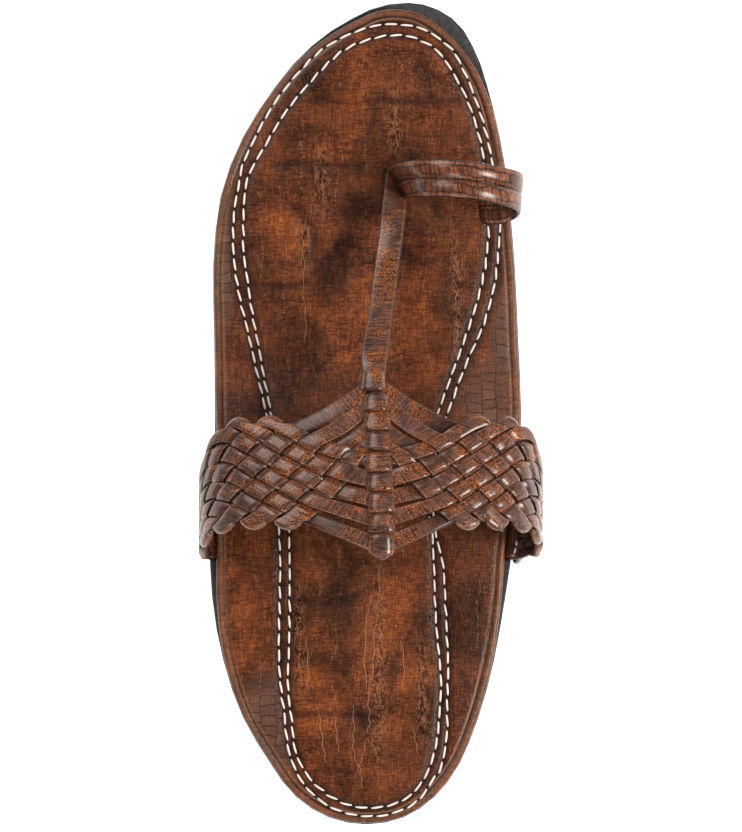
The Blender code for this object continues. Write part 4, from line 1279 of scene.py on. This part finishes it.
shape = bmesh.new()
layers = new_marks(shape, STRIP_MARKS)
sections = []
for px, py in CUT_END:
    x, y = from_photo(px, py)
    middle = np.array((arch_girth(1, x), y))
    aside = np.array((0.45, 0.89)) * 1.2 * MM
    lift = WEAVE_MIDDLE + 0.9 * STRIP_THICK
    sections.append((middle + aside, middle - aside, lift, 0.0, 0, 0.0))
strip_mesh(shape, layers, 1, sections, 0.9)
stray = mesh_piece("cut_strip_end", shape, strap_leather)
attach(stray, "root")
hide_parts("upper")


# Spine: nine wraps of leather lacing that gather the strips over the ridge. The upper ones lie
# over each other like scales, and the last ends in a blunt tongue.

# Top and bottom edge, left and right side at the top, and at the bottom, in the photograph's
# pixels, and how far the top edge arches up.
WRAPS = [
    (371.5, 391.5, 167.5, 189.5, 165.5, 191.0, 4.5),
    (395.5, 411.5, 169.5, 192.5, 168.0, 195.0, 4.5),
    (411.5, 430.5, 169.5, 194.0, 168.0, 197.0, 1.5),
    (431.5, 450.5, 171.5, 194.5, 171.0, 197.0, 1.5),
    (451.5, 471.5, 171.5, 195.0, 169.5, 197.5, 0.5),
    (472.0, 490.5, 174.0, 193.5, 171.0, 199.5, 0.5),
    (491.0, 512.5, 174.5, 195.5, 172.0, 201.5, 0.5),
    (513.0, 532.0, 175.0, 197.0, 172.5, 201.5, 1.5),
    (532.5, 552.5, 174.0, 198.0, 173.0, 199.0, 1.5),
]
WRAP_HEIGHT = 2.3 * MM
WRAP_UNDER = 1.6 * MM
WRAP_DROOP = 0.7 * MM
WRAP_STEPS, WRAP_TURNS = 14, 20
STAND_SHARES = (1.35, 1.2)


def rounded(value, power):
    """A sine or cosine made blunter, with its sign kept."""
    return math.copysign(abs(value) ** power, value)


for number, (top, bottom, top_left, top_right, low_left, low_right, arch) in enumerate(WRAPS):
    shape = bmesh.new()
    run_layer, wide_layer, tone_layer = new_marks(shape, ("run", "breadth", "tone"))
    tone = chance.uniform(0.0, 1.0)
    lapped = number < len(STAND_SHARES)
    stands = WRAP_HEIGHT * (STAND_SHARES[number] if lapped else 1.0)
    rows = []
    for step in range(WRAP_STEPS + 1):
        v = step / WRAP_STEPS
        row = []
        ends = (1 - abs(2 * v - 1) ** 7) ** 0.5
        left, right = top_left + (low_left - top_left) * v, top_right + (low_right - top_right) * v
        for turn in range(WRAP_TURNS):
            angle = math.tau * turn / WRAP_TURNS
            u = rounded(math.cos(angle), 0.75)
            px = (left + right) / 2 + (right - left) / 2 * u * (0.9 + 0.1 * ends)
            py = top + (bottom - top) * v - arch * (1 - u * u) * (1 - v) ** 2
            if number == len(WRAPS) - 1:
                py += 7.5 * (1 - abs(u - 0.1)) * v**3
            x, y = from_photo(px, py)
            up = rounded(math.sin(angle), 0.6)
            if up > 0:
                low_end = 0.62 if lapped and v < 0.5 else 0.35
                height = stands * (low_end + (1 - low_end) * ends) * up
            else:
                height = WRAP_UNDER * up * (0.4 + 0.6 * ends)
            ridge = on_arch(1, 0.0, y).z
            vert = shape.verts.new((x, y, ridge + height - abs(u) ** 3 * WRAP_DROOP))
            vert[run_layer], vert[wide_layer] = (bottom - top) * v * PIXEL, u * 0.9
            vert[tone_layer] = tone
            row.append(vert)
        rows.append(row)
    skin(shape, rows)
    wrap = mesh_piece(f"spine_wrap_{number + 1}", shape, strap_leather)
    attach(wrap, "root")
    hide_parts("upper")


# Thong strap: one folded strap, 8.5 mm wide with raised edges. It comes up out of a slit in the
# footbed, passes between the toes and ends under the first wrap of the spine.
THONG_WIDTH = 8.5 * MM
THONG_THICK = 2.4 * MM
LOOP_WIDTH = 13 * MM
TOE_SLIT = (0.168 * SOLE_WIDTH / 2, 0.560 * SOLE_LENGTH / 2, math.radians(-59))
EDGE_SLIT = (0.715 * SOLE_WIDTH / 2, 0.507 * SOLE_LENGTH / 2, math.radians(100))


def slit_place(slit, shift):
    """A point beside a slit's middle, with the slit's direction."""
    x, y, angle = slit
    heading = Vector((math.cos(angle), math.sin(angle), 0.0))
    return Vector((x, y, 0.0)) + Vector((-heading.y, heading.x, 0.0)) * shift, heading


def strap_mesh(sections, outline, thick, steps):
    """A strap through sections of centre and half width, with the given outline across."""
    given = np.array([(*centre, *half) for centre, half in sections])
    path = smooth_path(given * np.array([1, 1, 1, 0.5, 0.5, 0.5]), steps)
    shape = bmesh.new()
    run_layer, wide_layer = new_marks(shape, ("run", "breadth"))
    rings, run = [], 0.0
    for index, row in enumerate(path):
        before, after = path[max(index - 1, 0)], path[min(index + 1, len(path) - 1)]
        run += float(np.linalg.norm(row[:3] - before[:3]))
        centre, half = Vector(row[:3]), Vector(row[3:]) * 2
        up = half.cross(Vector(after[:3]) - Vector(before[:3])).normalized() * thick
        ring = []
        for share, height in outline:
            vert = shape.verts.new(centre + half * share + up * height)
            vert[run_layer], vert[wide_layer] = run, share
            ring.append(vert)
        rings.append(ring)
    skin(shape, rings)
    return shape


THONG_OUTLINE = [
    (-1.0, 0.0), (-0.985, 0.36), (-0.92, 0.50), (-0.80, 0.50), (-0.68, 0.40), (0.0, 0.38),
    (0.68, 0.40), (0.80, 0.50), (0.92, 0.50), (0.985, 0.36), (1.0, 0.0), (0.97, -0.38),
    (0.85, -0.48), (0.0, -0.5), (-0.85, -0.48), (-0.97, -0.38),
]
THONG_LEAN, THONG_RISE = 1.1 * THONG_THICK, 1.35 * THONG_THICK
THONG_SAG = 0.6 * THONG_THICK
foot, heading = slit_place(TOE_SLIT, -(THONG_THICK + FIT_GAP) / 2)
width = heading * (LOOP_WIDTH / 2)
mouth = Vector((foot.x, foot.y, footbed_top(foot.y) + CROWN))
ridge = on_arch(1, 0.0, SPINE_TOP_Y)
across = Vector((THONG_WIDTH / 2, 0.0, 0.0))
lean = Vector((0.0, -THONG_LEAN, THONG_RISE))
sections = [(Vector((foot.x, foot.y, rubber_top(foot.y) + FIT_GAP)), width), (mouth, width)]
sections.append((mouth + lean, width.lerp(across, 0.45)))
low = mouth + lean * 3.2
for share in (0.0, 0.35, 0.7, 1.0):
    sag = Vector((0.0, 0.0, -THONG_SAG * math.sin(math.pi * share)))
    sections.append((low.lerp(ridge, share) + sag, across))
sections.append((on_arch(1, 0.0, SPINE_TOP_Y - 5 * MM), across * 0.8))
shape = strap_mesh(sections, THONG_OUTLINE, THONG_THICK * 0.9, 10)
thong = mesh_piece("thong_strap", shape, strap_leather)
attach(thong, "root")
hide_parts("upper")


# Toe loop: one folded leather strap, 13 mm wide, with a groove scored along its middle. It leaves
# the same slit, arches over the big toe past the sole's edge, curls back and goes down through a
# second slit.
LOOP_THICK = 2.4 * MM
LOOP_HEIGHT = 23 * MM
# Share of the way to the second slit, shift to the toe, share of the height, angle of the width.
LOOP_ROWS = [
    (0.06, 0.04, 0.42, -70), (0.28, 0.11, 0.82, -80), (0.58, 0.19, 1.00, -84),
    (0.92, 0.25, 0.98, -86), (1.20, 0.28, 0.82, -90), (1.38, 0.285, 0.60, -94),
    (1.43, 0.26, 0.40, -94), (1.37, 0.17, 0.21, -88), (1.18, 0.05, 0.115, -82),
]
LOOP_OUTLINE = [
    (-1.0, 0.0), (-0.985, 0.34), (-0.93, 0.48), (-0.55, 0.53), (-0.10, 0.50), (-0.035, 0.24),
    (0.0, 0.18), (0.035, 0.24), (0.10, 0.50), (0.55, 0.53), (0.93, 0.48), (0.985, 0.34), (1.0, 0.0),
    (0.97, -0.38), (0.85, -0.48), (0.0, -0.5), (-0.85, -0.48), (-0.97, -0.38),
]
LOOP_TONES = ["#8c5236", "#a76b4e", "#ad6540", "#b86d3b"]
loop_leather = strap_finish("embossed_toe_loop_leather", LOOP_TONES, square=3.4 * MM)
first, first_heading = slit_place(TOE_SLIT, (THONG_THICK + FIT_GAP) / 2)
last, last_heading = slit_place(EDGE_SLIT, 0.0)
reach = last.x - first.x
half = first_heading * (LOOP_WIDTH / 2)
sections = [
    (Vector((first.x, first.y, rubber_top(first.y) + FIT_GAP)), half),
    (Vector((first.x, first.y, footbed_top(first.y) + CROWN / 2)), half),
]
for out, ahead, rise, angle in LOOP_ROWS:
    y = first.y + (last.y - first.y) * out + ahead * reach
    centre = Vector((first.x + reach * out, y, footbed_top(first.y) + LOOP_HEIGHT * rise))
    turned = Vector((math.cos(math.radians(angle)), math.sin(math.radians(angle)), 0.0))
    sections.append((centre, turned * (LOOP_WIDTH / 2)))
half = -last_heading * (LOOP_WIDTH / 2)
sections.append((Vector((last.x, last.y, footbed_top(last.y) + CROWN / 2)), half))
sections.append((Vector((last.x, last.y, rubber_top(last.y) + FIT_GAP)), half))
shape = strap_mesh(sections, LOOP_OUTLINE, LOOP_THICK * 0.92, 8)
loop = mesh_piece("toe_loop_strap", shape, loop_leather)
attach(loop, "root")
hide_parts("toe_loop")


# Tabs: a doubled leather tab wraps the end of the weave at each side. It goes down past the
# footbed's edge and lies glued in a recess of the rubber.
TUCK = 8 * MM
TAB_OUTLINE = [
    (-1.0, 0.0), (-0.97, 0.38), (-0.9, 0.5), (0.0, 0.52), (0.9, 0.5), (0.97, 0.38), (1.0, 0.0),
    (0.97, -0.38), (0.9, -0.5), (0.0, -0.5), (-0.9, -0.5), (-0.97, -0.38),
]
for side, side_name in ((-1, "outer"), (1, "inner")):
    end = ARCHES[side][0][-1]
    seat, heading = tab_seat(side)
    width = heading * (-side * TAB_WIDTH / 2)
    top = rubber_top(TAIL_Y)
    middle = seat + side * (FIT_GAP + TAB_THICK / 2)
    tuck = seat - side * TUCK
    high, low = end - 9 * MM, end - 5 * MM
    sections = [
        (band_point(side, high, TAIL_Y + 1.5 * MM, 0.1 * MM), width * 0.98),
        (band_point(side, low, TAIL_Y + 0.5 * MM, 0.0), width),
        (Vector((middle, TAIL_Y, top + FIT_GAP + FOOTBED_THICK / 2)), width),
        (Vector((middle - side * 0.2 * MM, TAIL_Y, top - 0.6 * MM)), width),
        (Vector((middle - side * TAB_THICK, TAIL_Y, top - TAB_THICK / 2)), width),
        (Vector((tuck, TAIL_Y, top - TAB_THICK / 2)), width),
    ]
    shape = strap_mesh(sections, TAB_OUTLINE, TAB_THICK * 0.9, 6)
    tab = mesh_piece(f"{side_name}_tab", shape, strap_leather)
    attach(tab, "root")
    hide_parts("upper")


# Tab stitches: two short ones and a knot, in the seams' waxed white thread. They close the inner
# tab by hand, and show in the gap beside the footbed.
TAB_STITCHES = [
    ((321.6, 538.5), (321.4, 546.0)), ((320.6, 547.5), (319.2, 553.5)),
    ((316.6, 554.6), (318.6, 556.4)),
]
CLOSING_STEPS = 6
RAY_START = 0.1
CLOSING_LIFT = 0.15 * MM
spots, faces = [], []
for wall in (band, tab):
    faces += [
        [len(spots) + corner for corner in polygon.vertices] for polygon in wall.data.polygons
    ]
    spots += [vert.co.copy() for vert in wall.data.vertices]
walls = BVHTree.FromPolygons(spots, faces)
shape = bmesh.new()
for start, stop in TAB_STITCHES:
    rings = []
    for step in range(CLOSING_STEPS + 1):
        share = step / CLOSING_STEPS
        px, py = (a + (b - a) * share for a, b in zip(start, stop))
        x, y = from_photo(px, py)
        seen = walls.ray_cast(Vector((x, y, RAY_START)), Vector((0.0, 0.0, -1.0)))[0]
        thick = THREAD_WIDE / 2 * stitch_thickness(2 * share - 1)
        centre = seen + Vector((0.0, 0.0, CLOSING_LIFT))
        ring = []
        for turn in range(THREAD_TURNS):
            angle = math.tau * turn / THREAD_TURNS
            aside = Vector((math.cos(angle) * thick, 0.0, math.sin(angle) * thick))
            ring.append(shape.verts.new(centre + aside))
        rings.append(ring)
    skin(shape, rings)
closing = mesh_piece("inner_tab_stitches", shape, thread)
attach(closing, "root")
